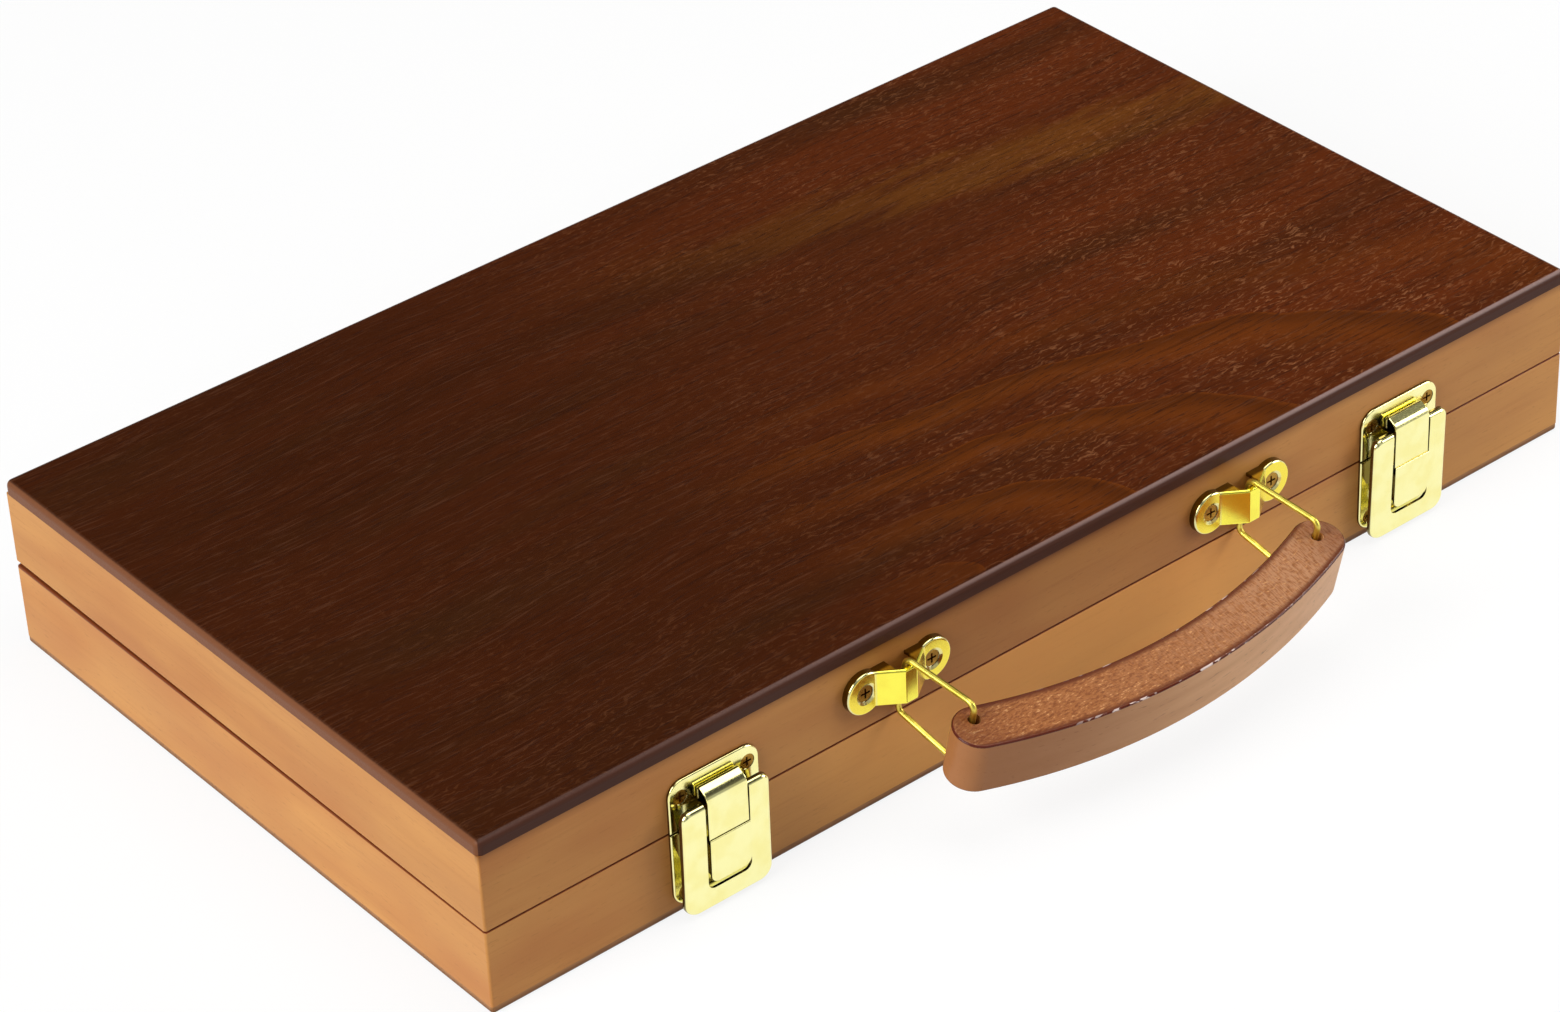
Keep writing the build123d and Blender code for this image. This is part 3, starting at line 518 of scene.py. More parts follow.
# %% Marks told by place
LID_RAIL_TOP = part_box("lid_front_rail")[1].z
FRONT_SKIN = (2 * MM, 1 * MM)
PANEL_SHADOW_DROP = 4.5 * MM
PANEL_SHADOW_LEVEL = 0.8
BEHIND_GRIP_SPAN = (100 * MM, 40 * MM)
BEHIND_GRIP_SHARE = 0.34
PAINTED_LIGHT_GAIN = 1.7
# all the lid's rails are mixed a little toward the shade tone
LID_DEEPER = 0.12
SEAM_REACH = (0.25 * MM, 0.85 * MM)


def painted_shade_and_light(tree, ground, axes):
    """Behind the handle, |x| below 100 mm, the lid gets painted shade and the base a paler painted light.
    On the front wall a painted shadow grows with the square of the height over the last 4.5 mm below the lid
    panel."""
    skin = [FRONT + depth for depth in FRONT_SKIN]
    front = add(tree, "MapRange", [axes.outputs[1], *skin])
    lid_only = add(tree, "Math", [axes.outputs[2], PARTING], operation="GREATER_THAN")
    aside = add(tree, "Math", [axes], operation="ABSOLUTE")
    # painted shade on the lid and painted light on the base, behind the handle
    behind = [aside, *BEHIND_GRIP_SPAN, 0, BEHIND_GRIP_SHARE]
    behind = add(tree, "MapRange", behind, interpolation_type="SMOOTHSTEP")
    behind = add(tree, "Math", [behind, front], operation="MULTIPLY")
    grip_shade = add(tree, "Math", [behind, lid_only], operation="MULTIPLY")
    painted_light = add(tree, "Math", [behind, grip_shade], operation="SUBTRACT")
    painted_light = add(tree, "Math", [painted_light, PAINTED_LIGHT_GAIN], operation="MULTIPLY")
    ground = add(tree, "MixRGB", [painted_light, ground, linear(HONEY["painted_light"])])
    # painted shadow under the lid panel on the front wall
    panel_shadow = [axes.outputs[2], LID_RAIL_TOP - PANEL_SHADOW_DROP, LID_RAIL_TOP, 0, PANEL_SHADOW_LEVEL]
    panel_shadow = add(tree, "Math", [add(tree, "MapRange", panel_shadow), 2.0], operation="POWER")
    panel_shadow = add(tree, "Math", [panel_shadow, front], operation="MULTIPLY")
    shaded = add(tree, "Math", [panel_shadow, grip_shade], operation="ADD")
    deeper = add(tree, "Math", [lid_only, LID_DEEPER], operation="MULTIPLY")
    shaded = add(tree, "Math", [shaded, deeper], operation="MAXIMUM")
    return add(tree, "MixRGB", [shaded, ground, linear(HONEY["shade"])])


def painted_seam_shade(tree, ground, axes):
    """Painted gap shade: |z - parting| over a reach that grows from front to back; full tone to 0.5, none
    past 1.
    """
    above = add(tree, "Math", [axes.outputs[2], PARTING], operation="SUBTRACT")
    above = add(tree, "Math", [above], operation="ABSOLUTE")
    reach = add(tree, "MapRange", [axes.outputs[1], FRONT, HALF_D, *SEAM_REACH])
    above = add(tree, "Math", [above, reach], operation="DIVIDE")
    return lay(tree, ground, above, (1.0, 0.5), 1.0, HONEY["seam_shade"])


# depth of the painted shadow under the lid panel
print("stain runs", round(PANEL_SHADOW_DROP / MM, 1), "mm down the front of the lid")

# %% [markdown]
# ### Rails dressed
#
# The figure and the marks come together under a satin sealer, a little rougher where the wood is pale.
# The bump could hold the pores too, but a sealer fills everything finer than the growth lines.

# %% Honey-stained softwood
HONEY_SWAY = (60 * MM, (6 * MM, 6 * MM, 3 * MM))


def honey_rail(name, turn):
    """Layers: the figure, painted shade and light, and the painted gap shade; roughness runs from 0.40 to
    0.48.
    """
    material, tree, place = new_material(name)
    axes = add(tree, "SeparateXYZ", [place])
    slow = sway(tree, place, *HONEY_SWAY)
    ground, clouds, lines = honey_figure(tree, slow, turn)
    ground = painted_shade_and_light(tree, ground, axes)
    ground = painted_seam_shade(tree, ground, axes)
    rough = add(tree, "MapRange", [clouds, 0.0, 1.0, 0.40, 0.48])
    bump = add(tree, "Bump", {"Height": lines, "Strength": 0.15, "Distance": 0.05 * MM})
    finish_material(tree, Base_Color=ground, Roughness=rough, Specular_IOR_Level=0.25, Normal=bump)
    return material


RAIL_X = honey_rail("softwood_honey_stained_grain_in_x", ALONG_X)
RAIL_Y = honey_rail("softwood_honey_stained_grain_in_y", ALONG_Y)
dress(["lid_front_rail", "lid_back_rail", "base_front_rail", "base_back_rail", "rack_divider"], RAIL_X)
dress(["lid_left_rail", "lid_right_rail", "base_left_rail", "base_right_rail", "tile_dividers"], RAIL_Y)
print("rails dressed with grain along each of them")

# %% [markdown]
# ## The base panel
#
# The base's underside is a thin plywood board. Only its edge shows, as a brown stripe that darkens toward
# the table; the darkening is painted contact shade. Birch plywood stained to match is the usual choice,
# and the pattern here is a few tones in z, from that painted shade up to honey, with faint mottling along
# them. Separate boards for the plies would be truer, but the stain hides where one ply ends.

# %% Plywood edge, stained, with painted shade toward the table
# tones from painted contact shade at the table up to honey at the rail
PLY = {"top": "#b07c4e", "middle": "#8a5c36", "bottom": "#5f4328", "glue": "#704a2c"}
PLY_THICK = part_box("base_panel")[1].z
PLY_CUT = (8 * MM, 0.8 * MM, 3.3)


def plywood_edge_painted_shade():
    """Painted shade: tone runs with height from dark at the table to honey at the rail; noise 8 mm long
    breaks it up.
    """
    material, tree, place = new_material("birch_plywood_edge_with_painted_shade")
    height = add(tree, "SeparateXYZ", [place]).outputs[2]
    colour = linear(PLY["bottom"])
    colour = lay(tree, colour, height, (0.0, PLY_THICK * 0.55), 1.0, PLY["middle"])
    colour = lay(tree, colour, height, (PLY_THICK * 0.5, PLY_THICK), 1.0, PLY["top"])
    mottle = grain(tree, place, ALONG_X, *PLY_CUT)
    colour = lay(tree, colour, mottle, (0.5, 0.72), 0.5, PLY["glue"])
    rough = add(tree, "MapRange", [mottle, 0.3, 0.7, 0.42, 0.55])
    finish_material(tree, Base_Color=colour, Roughness=rough, Specular_IOR_Level=0.25)
    return material


dress(["base_panel"], plywood_edge_painted_shade())
print("base panel edge", round(PLY_THICK / MM, 1), "mm high")

# %% [markdown]
# ## The grip
#
# The grip is a curved piece of beech-like wood, stained red-brown and dipped in lacquer. Its flat faces
# are open grained, with painted glints; its sanded sides are smooth, and their paler tone is partly painted
# light. Stain gathers on its rounded corners as a dark glossy line. Three materials on three sets of faces
# would need the mesh cut up, so one shader tells a flat face, a side and a corner apart by how far the
# normal, in Object coordinates, leans to the grip's own axis.

# %% Grip tones, its faces and its border
GRIP = {
    "flat": "#a5673a",
    "flat_dark": "#7c431f",
    "flat_glint": "#ebb47c",
    "haze": "#bf8c66",
    # the side tone is paler partly as painted light
    "side": "#e3ab78",
    "side_dark": "#cf9560",
    # painted shade on the sides toward the left tip
    "side_painted_shade": "#9c6236",
    "corner_glint": "#f2dcd2",
    "corner": "#5a2418",
    "border": "#5e2712",
    "pore": "#7a4522",
}
# the axis that the grip bends round, a point on it, the radius of the middle line, half the width of
# the flat face without its roundings, and the x of the middle
GRIP_AXIS = (0.012, -0.216, 0.976)
GRIP_CENTRE = (1.7 * MM, 30.5 * MM, 62.2 * MM)
GRIP_RADIUS = 171.1 * MM
GRIP_HALF = 6.4 * MM
GRIP_MIDDLE = 4.0 * MM
BORDER_WIDTH = 1.9 * MM
BORDER_SHARE = 0.95
TIP_DARK = (46 * MM, 62 * MM)
TIP_SHARE = 0.45
FLAT_FROM, SIDE_TO = (0.93, 0.995), (0.12, 0.35)  # limits in |n . a|


def grip_faces(tree):
    """|n . a| is near 1 on the flats, near 0 on the sides, and between them on the rounded corners."""
    normal = tree.nodes["Texture Coordinate"].outputs["Normal"]
    facing = add(tree, "VectorMath", [normal, GRIP_AXIS], operation="DOT_PRODUCT").outputs["Value"]
    upright = add(tree, "Math", [facing], operation="ABSOLUTE")
    flat = add(tree, "MapRange", [upright, *FLAT_FROM], interpolation_type="SMOOTHSTEP")
    rise = add(tree, "MapRange", [upright, *SIDE_TO], interpolation_type="SMOOTHSTEP")
    fall = add(tree, "MapRange", [upright, *FLAT_FROM[::-1]], interpolation_type="SMOOTHSTEP")
    return flat, add(tree, "Math", [rise, fall], operation="MULTIPLY")


def grip_border(tree, place, aside):
    """The grip bends round a centre c and its axis a, so a point p lies |(p - c) x a| - R off its middle
    line, and the stain is darker where that nears half its width, and toward both tips."""
    arm = add(tree, "VectorMath", [place, GRIP_CENTRE], operation="SUBTRACT")
    swung = add(tree, "VectorMath", [arm, GRIP_AXIS], operation="CROSS_PRODUCT")
    reach = add(tree, "VectorMath", [swung], operation="LENGTH").outputs["Value"]
    off = add(tree, "Math", [reach, GRIP_RADIUS], operation="SUBTRACT")
    off = add(tree, "Math", [off], operation="ABSOLUTE")
    border = [off, GRIP_HALF - BORDER_WIDTH, GRIP_HALF, 0, BORDER_SHARE]
    border = add(tree, "MapRange", border, interpolation_type="SMOOTHSTEP")
    tip = add(tree, "MapRange", [aside, *TIP_DARK, 0, TIP_SHARE], interpolation_type="SMOOTHSTEP")
    return add(tree, "Math", [border, tip], operation="MAXIMUM")


print("grip bends at", round(GRIP_RADIUS / MM, 1), "mm radius")

# %% [markdown]
# ### What each face of the grip shows
#
# The flats are open grain with dark hollows and painted glints, under a haze of fine scratches that gets
# thicker to the right. The sides have soft bands and a few thin pores, and painted shade darkens them
# toward the left. The corners are dark, and in the middle of the grip they carry painted sparks of
# highlight. Each is a function that returns a colour, so that any one of them can be changed without
# touching the others. Pores in such wood are about 0.1 mm wide, too fine to show, so here they are 0.5 mm.

# %% Flats, sides and corners
GRIP_CUTS = {  # length along the grain, width across it, and which cut of the noise
    "open": (1.5 * MM, 0.55 * MM, 2.9),
    "scratches": (9 * MM, 0.45 * MM, 3.7),
    "bands": (50 * MM, 3.5 * MM, 0.9),
    "pores": (6 * MM, 0.5 * MM, 7.7),
    "sparkle": (3.2 * MM, 1.2 * MM, 4.4),
}
HAZE_GROWS = (-45 * MM, 60 * MM)
# where the painted shade on the sides fades in toward the left
SIDE_SHADE_SPAN = (20 * MM, -60 * MM)
SPARKLES = (46 * MM, 20 * MM)


def grip_flats(tree, place, across, open_grain, border):
    """Hollows, then glints, then a haze scratched across the grain, then the dark border."""
    top = lay(tree, linear(GRIP["flat"]), open_grain, (0.55, 0.35), 0.8, GRIP["flat_dark"])
    top = lay(tree, top, open_grain, (0.58, 0.72), 0.75, GRIP["flat_glint"])
    haze = add(tree, "MapRange", [across, *HAZE_GROWS, 0, 0.6], interpolation_type="SMOOTHSTEP")
    fine = grain(tree, place, ALONG_Y, *GRIP_CUTS["scratches"], 1.0)
    fine = add(tree, "MapRange", [fine, 0.36, 0.62, 0.3, 1.5], interpolation_type="SMOOTHSTEP")
    haze = add(tree, "Math", [haze, fine], operation="MULTIPLY")
    top = add(tree, "MixRGB", [haze, top, linear(GRIP["haze"])])
    return add(tree, "MixRGB", [border, top, linear(GRIP["border"])])


def grip_sides(tree, place, across):
    """Bands 3.5 mm wide, thin pores 6 mm long, and painted shade toward the left tip."""
    bands = grain(tree, place, ALONG_X, *GRIP_CUTS["bands"], 3.0)
    side = lay(tree, linear(GRIP["side"]), bands, (0.35, 0.7), 0.7, GRIP["side_dark"], "LINEAR")
    pores = grain(tree, place, ALONG_X, *GRIP_CUTS["pores"], 1.0)
    side = lay(tree, side, pores, (0.66, 0.76), 0.5, GRIP["pore"])
    return lay(tree, side, across, SIDE_SHADE_SPAN, 0.85, GRIP["side_painted_shade"])


def grip_corners(tree, aside, sparkle):
    """A dark line with sparks from noise 3.2 mm by 1.2 mm, which fade toward both tips."""
    spark = add(tree, "MapRange", [sparkle, 0.53, 0.62, 0, 0.85], interpolation_type="SMOOTHSTEP")
    caught = add(tree, "MapRange", [aside, *SPARKLES], interpolation_type="SMOOTHSTEP")
    spark = add(tree, "Math", [spark, caught], operation="MULTIPLY")
    return add(tree, "MixRGB", [spark, linear(GRIP["corner"]), linear(GRIP["corner_glint"])])


print("grip patterns:", len(GRIP_CUTS))

# %% [markdown]
# ### Grip dressed
#
# The three colours are mixed by which face a point is on, and so are the sheens: satin on the sides,
# glittering grain on the flats and a full gloss on the corners. A mix of colours also mixes levels,
# when they are written as greys.

# %% Beech, stained and dipped
GRIP_SATIN = (0.38, 0.38, 0.38, 1.0)
GRIP_GLOSS = (0.14, 0.14, 0.14, 1.0)


def grip_wood():
    """Side, flat and corner in turn, for the colour and for the roughness. The relief is the open
    grain on the flats plus the sparkle on the corners."""
    material, tree, place = new_material("beech_grip_stained_and_dipped")
    along = add(tree, "SeparateXYZ", [place])
    across = add(tree, "Math", [along, GRIP_MIDDLE], operation="SUBTRACT")
    aside = add(tree, "Math", [across], operation="ABSOLUTE")
    flat, corner = grip_faces(tree)
    open_grain = grain(tree, place, ALONG_X, *GRIP_CUTS["open"], 2.0, 0.7)
    sparkle = grain(tree, place, ALONG_X, *GRIP_CUTS["sparkle"], 2.0)
    border = grip_border(tree, place, aside)
    top = grip_flats(tree, place, across, open_grain, border)
    colour = add(tree, "MixRGB", [flat, grip_sides(tree, place, across), top])
    colour = add(tree, "MixRGB", [corner, colour, grip_corners(tree, aside, sparkle)])
    glitter = add(tree, "MapRange", [open_grain, 0.3, 0.7, 0.45, 0.24])
    sheen = add(tree, "MixRGB", [flat, GRIP_SATIN, glitter])
    sheen = add(tree, "MixRGB", [corner, sheen, GRIP_GLOSS])
    depth = add(tree, "Math", [open_grain, flat], operation="MULTIPLY")
    ripple = add(tree, "Math", [sparkle, corner], operation="MULTIPLY")
    depth = add(tree, "Math", [depth, ripple], operation="ADD")
    bump = add(tree, "Bump", {"Height": depth, "Strength": 0.6, "Distance": 0.25 * MM})
    finish_material(tree, Base_Color=colour, Roughness=sheen, Specular_IOR_Level=0.22, Normal=bump)
    return material


dress(["grip"], grip_wood())

# %% [markdown]
# ## Plated metal
#
# Latches, hinges and screws are pressed steel with bright brass plating, and the handle brackets are
# yellow passivated zinc, which shimmers from gold to pale green; on their pressed edges the pale green is
# a painted highlight. A polished metal has little colour of its own: it shows the room. So the base colour
# is pale and the roughness low, and a slow bump makes reflections wobble as they do on thin pressed sheet.
# A modelled wobble would need a dense mesh.
#
# The brackets come first, because their film has the most to it. Their ears lie on the wall and their
# bridge stands proud of it, so the distance from the wall tells one from the other.

# %% The film on the brackets
EAR_STAND = 2.6 * MM
BRIDGE_DRIFT = 0.25
RIM_STARTS, RIM_ENDS = (0.25, 0.5), (0.97, 0.85)  # limits in |n . y|
# share of the painted highlight on the ears' pressed rounding
RIM_HIGHLIGHT_SHARE = 0.8


def bracket_film(tree, place, facing, colour, tone, tint, rim):
    """Where y is within the ear's stand of the wall, the film is the tint, with the rim tone, a painted
    highlight, on the pressed rounding, |n . y| from 0.25 to 0.97. The bridge that stands prouder stays near
    the tone."""
    proud = add(tree, "SeparateXYZ", [place]).outputs[1]
    ear = add(tree, "MapRange", [proud, FRONT - EAR_STAND, FRONT - EAR_STAND * 0.7])
    rise = add(tree, "MapRange", [facing, *RIM_STARTS], interpolation_type="SMOOTHSTEP")
    fall = add(tree, "MapRange", [facing, *RIM_ENDS, 0, RIM_HIGHLIGHT_SHARE], interpolation_type="SMOOTHSTEP")
    band = add(tree, "Math", [rise, fall], operation="MULTIPLY")
    band = add(tree, "Math", [band, ear], operation="MULTIPLY")
    bridge = add(tree, "MixRGB", [BRIDGE_DRIFT, linear(tone), colour])
    colour = add(tree, "MixRGB", [ear, bridge, linear(tint)])
    return add(tree, "MixRGB", [band, colour, linear(rim)]), ear


print("bracket ears stand up to", round(EAR_STAND / MM, 1), "mm proud")

# %% [markdown]
# ### Plating
#
# One recipe covers every metal here: two close tones, polish and a slow wobble. Walls of the pressed
# sheet face the dark sides of the room, and a tone stands for that, because the sky here has no such
# sides. Real polishing marks are too fine to show, so they are drawn at 0.4 mm.

# %% Plating
SHEET_WAVE = 5.5 * MM
POLISH_GRIT = 0.4 * MM
WALL_LEAN = (0.45, 0.2)


def plated(name, tone, tint, rough, wave_height, wall_tone=None, wall_share=0.0, rim=None):
    """Tone drifts between two colours over a few mm. Walls that stand square to the front face, told
    by a low |n . y| in Object coordinates, take a share of the wall tone, a painted reflection of dark
    room sides. A rim tone, a painted highlight, is given only for the brackets, and then only their ears
    have dark walls."""
    material, tree, place = new_material(name)
    soft = add(tree, "TexNoise", {"Vector": place, "Scale": 1 / SHEET_WAVE, "Detail": 2.0})
    fine = add(tree, "TexNoise", {"Vector": place, "Scale": 1 / POLISH_GRIT, "Detail": 1.0})
    colour = lay(tree, linear(tone), soft, (0.35, 0.7), 1.0, tint)
    if wall_tone:
        normal = tree.nodes["Texture Coordinate"].outputs["Normal"]
        lean = add(tree, "SeparateXYZ", [normal]).outputs[1]
        facing = add(tree, "Math", [lean], operation="ABSOLUTE")
        wall = [facing, *WALL_LEAN, 0, wall_share]
        wall = add(tree, "MapRange", wall, interpolation_type="SMOOTHSTEP")
        if rim:
            colour, ear = bracket_film(tree, place, facing, colour, tone, tint, rim)
            wall = add(tree, "Math", [wall, ear], operation="MULTIPLY")
        colour = add(tree, "MixRGB", [wall, colour, linear(wall_tone)])
    painted_highlight_and_wear = add(tree, "MapRange", [fine, 0.3, 0.75, rough, rough * 1.5])
    bump = add(tree, "Bump", {"Height": soft, "Strength": 0.4, "Distance": wave_height})
    finish_material(tree, Base_Color=colour, Metallic=1.0, Roughness=painted_highlight_and_wear, Normal=bump)
    return material


print("sheet wobbles over", round(SHEET_WAVE / MM, 1), "mm")

# %% [markdown]
# ### Brass, zinc and wire
#
# The polished sheet has the lowest roughness, the drawn wire of the loops the highest, and the screws
# and pins are a deeper, darker brass, partly painted shade of the screw recesses. Each could have a node
# tree of its own, but one function with different numbers keeps the metals a family.

# %% Dress the metal parts
BRIGHT_BRASS = plated(
    "steel_brass_plated_polished", "#fef9b4", "#fbf3a4", 0.12, 0.012 * MM, "#4a300d", 0.85
)
# the last colour is the rim tone, a painted highlight on the ears' rounding
GOLD_ZINC = plated(
    "zinc_yellow_passivated", "#fff65c", "#f2d24a", 0.15, 0.05 * MM, "#3f2e12", 0.85, "#dfe6c2"
)
DRAWN_WIRE = plated("brass_wire_drawn", "#e8d763", "#d2bc4c", 0.30, 0.001 * MM)
# darker tones, partly painted shade of the screw recesses
SCREW_BRASS = plated("steel_screws_brass_plated", "#b98f3a", "#8d6524", 0.22, 0.02 * MM)
METAL_PARTS = [
    (BRIGHT_BRASS, ("keeper", "latch_plate", "lever", "claw", "hinge_base_leaf", "hinge_lid_leaf")),
    (GOLD_ZINC, ("bracket",)),
    (DRAWN_WIRE, ("loop",)),
    (SCREW_BRASS, ("lever_pin", "claw_pin", "hinge_pin")),
]
for metal, parts in METAL_PARTS:
    names = [f"{side}_{part}" for part in parts for side in ("left", "right")]
    dress(names, metal)
    print(metal.name, "on", len(names), "parts")
SCREWED = ("hinge_base", "hinge_lid", "latch_plate", "keeper", "bracket")
dress([f"{group}_screws" for group in SCREWED], SCREW_BRASS)
print(SCREW_BRASS.name, "on", len(SCREWED), "sets of screws")

# %% [markdown]
# ## Felt liners
#
# Each tray is lined with a sheet of dyed wool felt, 1 mm thick. To the eye it is a deep matt green,
# mottled where the fibres took the dye unevenly, with a soft sheen from the fuzz. Hair particles could
# stand for the fuzz, but at this distance a bump and a sheen give the same.

# %% Felt cloth
FELT = {"deep": "#1d4a30", "body": "#2b6340", "fuzz": "#3d7a52"}
FELT_MOTTLE = 11 * MM
FELT_FIBRE = 0.45 * MM


def wool_felt():
    """Mottled tone over 11 mm and matted fibres of 0.45 mm, coarser than wool so that they show."""
    material, tree, place = new_material("wool_felt_dyed_green_pressed")
    mottle = add(tree, "TexNoise", {"Vector": place, "Scale": 1 / FELT_MOTTLE, "Detail": 4.0})
    fibre = add(tree, "TexNoise", {"Vector": place, "Scale": 1 / FELT_FIBRE, "Detail": 3.0})
    colour = lay(tree, linear(FELT["deep"]), mottle, (0.3, 0.7), 1.0, FELT["body"])
    colour = lay(tree, colour, fibre, (0.4, 0.7), 0.4, FELT["fuzz"])
    bump = add(tree, "Bump", {"Height": fibre, "Strength": 0.5, "Distance": 0.2 * MM})
    finish_material(tree, Base_Color=colour, Roughness=0.95, Sheen_Weight=0.4, Normal=bump)
    return material


FELT_CLOTH = wool_felt()
print(FELT_CLOTH.name, "has", len(FELT_CLOTH.node_tree.nodes), "nodes")

# %% [markdown]
# ### The shape of a felt sheet
#
# Felt is cut a little short of the walls. It lies flat but is never quite even, and its cut edge rounds
# over. It could be a plane with a Solidify modifier, but then its edge would be square, so the slab is
# worked out as one closed surface.

# %% Slab with rounded edges
FELT_TRIM = 0.3 * MM
FELT_EDGE = 0.6 * MM
FELT_CELL = 3.0 * MM
FELT_WAVE = 0.06 * MM
FELT_RIPPLE = (61, 83)  # radians for each metre: waves 103 mm long in x and 76 mm in y
EDGE_STEPS = 4


def felt_span(a, b):
    """Grid places from a to b: close together where 1 - cos rounds the edge, even between."""
    inner = np.linspace(a + FELT_EDGE, b - FELT_EDGE, int((b - a) / FELT_CELL))
    lead = FELT_EDGE * (1 - np.cos(np.linspace(0, math.pi / 2, EDGE_STEPS)[:-1]))
    return np.concatenate([a + lead, inner, (b - lead)[::-1]])


def felt_slab(low, high, side):
    """A slab over the grid (x, y). With e the distance to the nearest edge and r the edge rounding,
    its half thickness is (T / 2) sqrt(1 - (1 - min(e, r) / r)^2), less a wave of sin x sin y on the
    free face. The rim of the upper and the lower face is shared, so the surface is closed."""
    across = felt_span(low.x + FELT_TRIM, high.x - FELT_TRIM)
    along = felt_span(low.y + FELT_TRIM, high.y - FELT_TRIM)
    x, y = np.meshgrid(across, along, indexing="ij")
    edge = np.minimum(np.minimum(x - x[0, 0], x[-1, 0] - x), np.minimum(y - y[0, 0], y[0, -1] - y))
    half = (high.z - low.z) / 2 * np.sqrt(1 - (1 - np.minimum(edge, FELT_EDGE) / FELT_EDGE) ** 2)
    ripple = np.sin(x * FELT_RIPPLE[0]) * np.sin(y * FELT_RIPPLE[1])
    wave = FELT_WAVE * (0.5 + 0.5 * ripple) * (half / half.max())
    centre = (low.z + high.z) / 2
    upper = centre + half - (wave if side > 0 else 0)
    lower = centre - half + (wave if side < 0 else 0)
    rows, columns = x.shape
    top = np.arange(rows * columns).reshape(rows, columns)
    under = top.copy()
    free = (rows - 2, columns - 2)
    under[1:-1, 1:-1] = rows * columns + np.arange(free[0] * free[1]).reshape(free)
    points = np.stack([x, y, upper], -1).reshape(-1, 3)
    inner = np.stack([x, y, lower], -1)[1:-1, 1:-1].reshape(-1, 3)
    over = np.stack([top[:-1, :-1], top[1:, :-1], top[1:, 1:], top[:-1, 1:]], -1)
    below = np.stack([under[:-1, :-1], under[:-1, 1:], under[1:, 1:], under[1:, :-1]], -1)
    faces = np.concatenate([over.reshape(-1, 4), below.reshape(-1, 4)])
    cut = (across[-1] - across[0], along[-1] - along[0])
    return np.concatenate([points, inner]), faces, cut


print("felt grid", round(FELT_CELL / MM, 1), "mm, edge rounded over", round(FELT_EDGE / MM, 1), "mm")

# %% [markdown]
# ### Cut and lay the two sheets
#
# One sheet lies on the base panel and one is under the lid panel, and each takes the place of a plain
# board in the rigid model. A cloth simulation would let them settle, but felt this stiff stays as laid.

# %% Lay the felt


def felt_sheet(name, replaced, body, side):
    """Builds one slab in the place of a rigid board; side tells whether its free face is up or down."""
    points, faces, cut = felt_slab(*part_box(replaced), side)
    mesh = bpy.data.meshes.new(name)
    mesh.from_pydata(points.tolist(), [], faces.tolist())
    mesh.polygons.foreach_set("use_smooth", np.ones(len(faces), dtype=bool))
    mesh.update()
    sheet = bpy.data.objects.new(name, mesh)
    bpy.context.scene.collection.objects.link(sheet)
    mesh.materials.append(FELT_CLOTH)
    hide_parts(replaced)
    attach(sheet, body)
    print(name, [round(v / MM, 1) for v in cut], "mm,", len(faces), "faces")


felt_sheet("base_felt", "base_liner", "base", 1)
felt_sheet("lid_felt", "lid_liner", "lid", -1)

# %% [markdown]
# ## Floor
#
# The case stands on white paper. The paper takes the object's shadow, and a Light Path node lets camera,
# mirror and glass rays see it mostly as plain white, so that the ground stays clean. Rays that carry
# light on to the case see a greyer sheet, because a studio sweep is lit less far from the object. A
# shadow catcher would leave no paper for the metal to mirror. Real paper fibres are too fine to show,
# so they are 1.7 mm here.

# %% White paper
FLOOR_HALF = 4.0
GLOW_SHARE = 0.85
PAPER_SEEN, PAPER_LIGHT, PAPER_FIBRE = "#fcfcfb", "#bab9b7", "#b5b4b3"
PAPER_GRAIN = 1.7 * MM


def white_paper():
    """Diffuse paper with faint fibres, mixed with a white glow for the rays that look straight at it."""
    material, tree, place = new_material("white_paper_floor")
    ray = add(tree, "LightPath").outputs
    seen = add(tree, "Math", [ray["Is Camera Ray"], ray["Is Glossy Ray"]], operation="MAXIMUM")
    seen = add(tree, "Math", [seen, ray["Is Transmission Ray"]], operation="MAXIMUM")
    fibres = add(tree, "TexNoise", {"Vector": place, "Scale": 1 / PAPER_GRAIN})
    tint = add(tree, "MixRGB", [fibres, linear(PAPER_LIGHT), linear(PAPER_FIBRE)])
    tone = add(tree, "MixRGB", [seen, tint, linear(PAPER_SEEN)])
    paper = add(tree, "BsdfDiffuse", [tone])
    glow = add(tree, "Emission", {"Color": (1, 1, 1, 1), "Strength": 1.0})
    share = add(tree, "Math", [seen, GLOW_SHARE], operation="MULTIPLY")
    mixed = add(tree, "MixShader", [share, paper, glow])
    add(tree, "OutputMaterial", [mixed])
    return material


def studio_floor():
    """A large flat square at z = 0."""
    mesh = bpy.data.meshes.new("studio_floor")
    corners = np.array([(-1, -1, 0), (1, -1, 0), (1, 1, 0), (-1, 1, 0)]) * FLOOR_HALF
    mesh.from_pydata(corners.tolist(), [], [(0, 1, 2, 3)])
    mesh.materials.append(white_paper())
    floor = bpy.data.objects.new("studio_floor", mesh)
    bpy.context.scene.collection.objects.link(floor)


studio_floor()
print("floor", FLOOR_HALF * 2, "m square")

# %% [markdown]
# ## Light
#
# A key softbox to the left lights the side wall and rakes the lid, a top softbox evens the lid out, and
# a small fill at the front right keeps the front wall from going flat: it brightens toward the right.
# The levels are set so that a colour comes out about as it is written. An image of a studio round the
# scene would do as well, but three lamps can be moved one at a time.

# %% Softboxes
SOFTBOXES = {  # place in metres, size of the square in metres, power in watts
    "key_softbox": ((-1.7, -0.1, 1.1), 1.2, 38.0),
    "top_softbox": ((0.35, -0.25, 2.0), 1.6, 19.0),
    "fill_softbox": ((1.0, -0.65, 0.5), 0.6, 7.2),
}


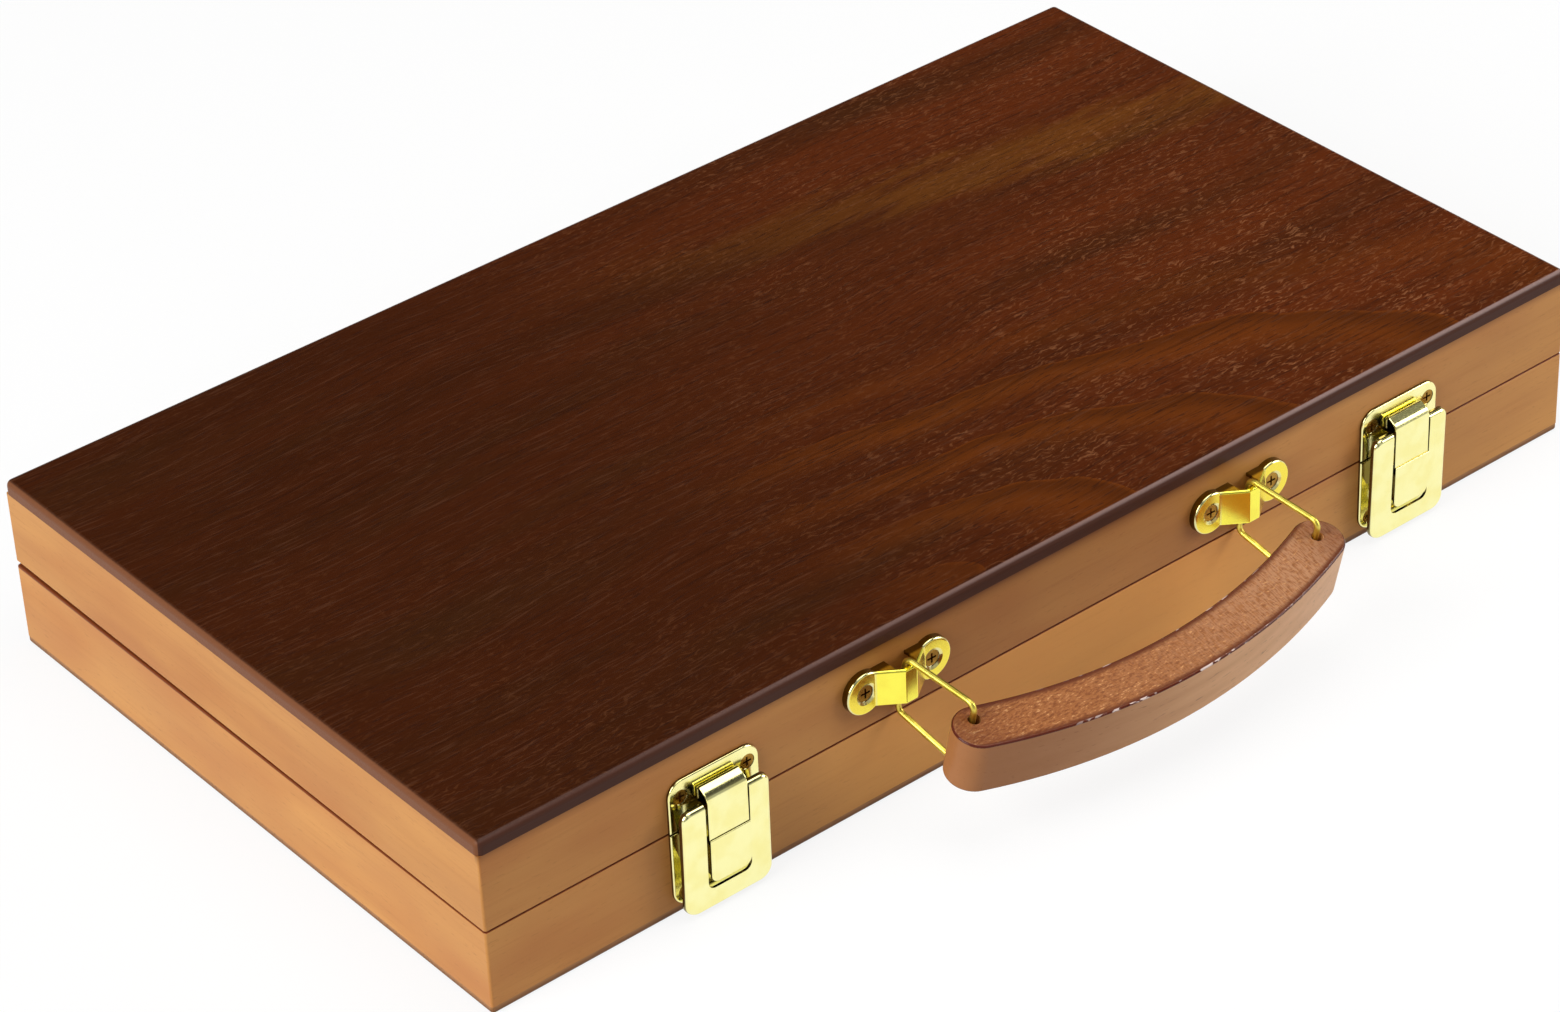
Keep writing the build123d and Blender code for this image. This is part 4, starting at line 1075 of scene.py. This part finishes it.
def softbox(name, place, size, watts):
    """A square area lamp at a place, aimed at the case."""
    data = bpy.data.lights.new(name, "AREA")
    data.shape = "SQUARE"
    data.size = size
    data.energy = watts
    lamp = bpy.data.objects.new(name, data)
    aim = -Vector(place)
    lamp.matrix_world = Matrix.Translation(place) @ aim.to_track_quat("-Z", "Y").to_matrix().to_4x4()
    bpy.context.scene.collection.objects.link(lamp)


for lamp_name, settings in SOFTBOXES.items():
    softbox(lamp_name, *settings)
    print(lamp_name, settings[-1], "W")

# %% [markdown]
# ## Sky
#
# The sky is pale only near the floor, so that polished metal shows a light band under a dark one. Mirror
# rays also see soft patches of a room, so that the metal has something to show. A plain grey world would
# light the case as well, but brass under it looks like plastic.

# %% Studio sky
SKY_LOW, SKY_HIGH = 0.55, 0.04
SKY_FADE = 0.30
ROOM_PATCH, ROOM_LEVEL = 2.4, 0.55
TOWARD_VIEWER = camera.matrix_world.col[2]
LID_MIRRORS = [round(v, 3) for v in (-TOWARD_VIEWER.x, -TOWARD_VIEWER.y, TOWARD_VIEWER.z)]
MIRROR_CLEAR, MIRROR_FULL = 0.97, 0.75  # cosines of 14 and 41 degrees from that direction


def studio_sky():
    """World light that falls from one level at the horizon to another above a height. Patches of noise
    are for mirror rays, but not where the lid mirrors the viewer's look, which is toward (-x, -y, z)
    when the viewer stands toward (x, y, z). So the lid stays deep."""
    world = bpy.data.worlds.new("studio_sky")
    bpy.context.scene.world = world
    world.use_nodes = True
    tree = world.node_tree
    tree.nodes.clear()
    way = add(tree, "TexCoord").outputs["Generated"]
    height = add(tree, "SeparateXYZ", [way]).outputs[2]
    level = [height, 0.0, SKY_FADE, SKY_LOW, SKY_HIGH]
    level = add(tree, "MapRange", level, interpolation_type="SMOOTHSTEP")
    ray = add(tree, "LightPath").outputs
    clouds = add(tree, "TexNoise", {"Vector": way, "Scale": ROOM_PATCH, "Detail": 1.0})
    room = [clouds, 0.42, 0.62, 0, ROOM_LEVEL]
    room = add(tree, "MapRange", room, interpolation_type="SMOOTHSTEP")
    toward = add(tree, "VectorMath", [way, LID_MIRRORS], operation="DOT_PRODUCT").outputs["Value"]
    beside = [toward, MIRROR_CLEAR, MIRROR_FULL]
    beside = add(tree, "MapRange", beside, interpolation_type="SMOOTHSTEP")
    room = add(tree, "Math", [room, beside], operation="MULTIPLY")
    room = add(tree, "Math", [room, ray["Is Glossy Ray"]], operation="MULTIPLY")
    level = add(tree, "Math", [level, room], operation="MAXIMUM")
    shown = add(tree, "Math", [level, ray["Is Camera Ray"]], operation="MAXIMUM")
    glow = add(tree, "Background", {"Color": (1, 1, 1, 1), "Strength": shown})
    add(tree, "OutputWorld", [glow])


studio_sky()
print("sky from", SKY_LOW, "at the horizon to", SKY_HIGH, "overhead; the lid mirrors", LID_MIRRORS)
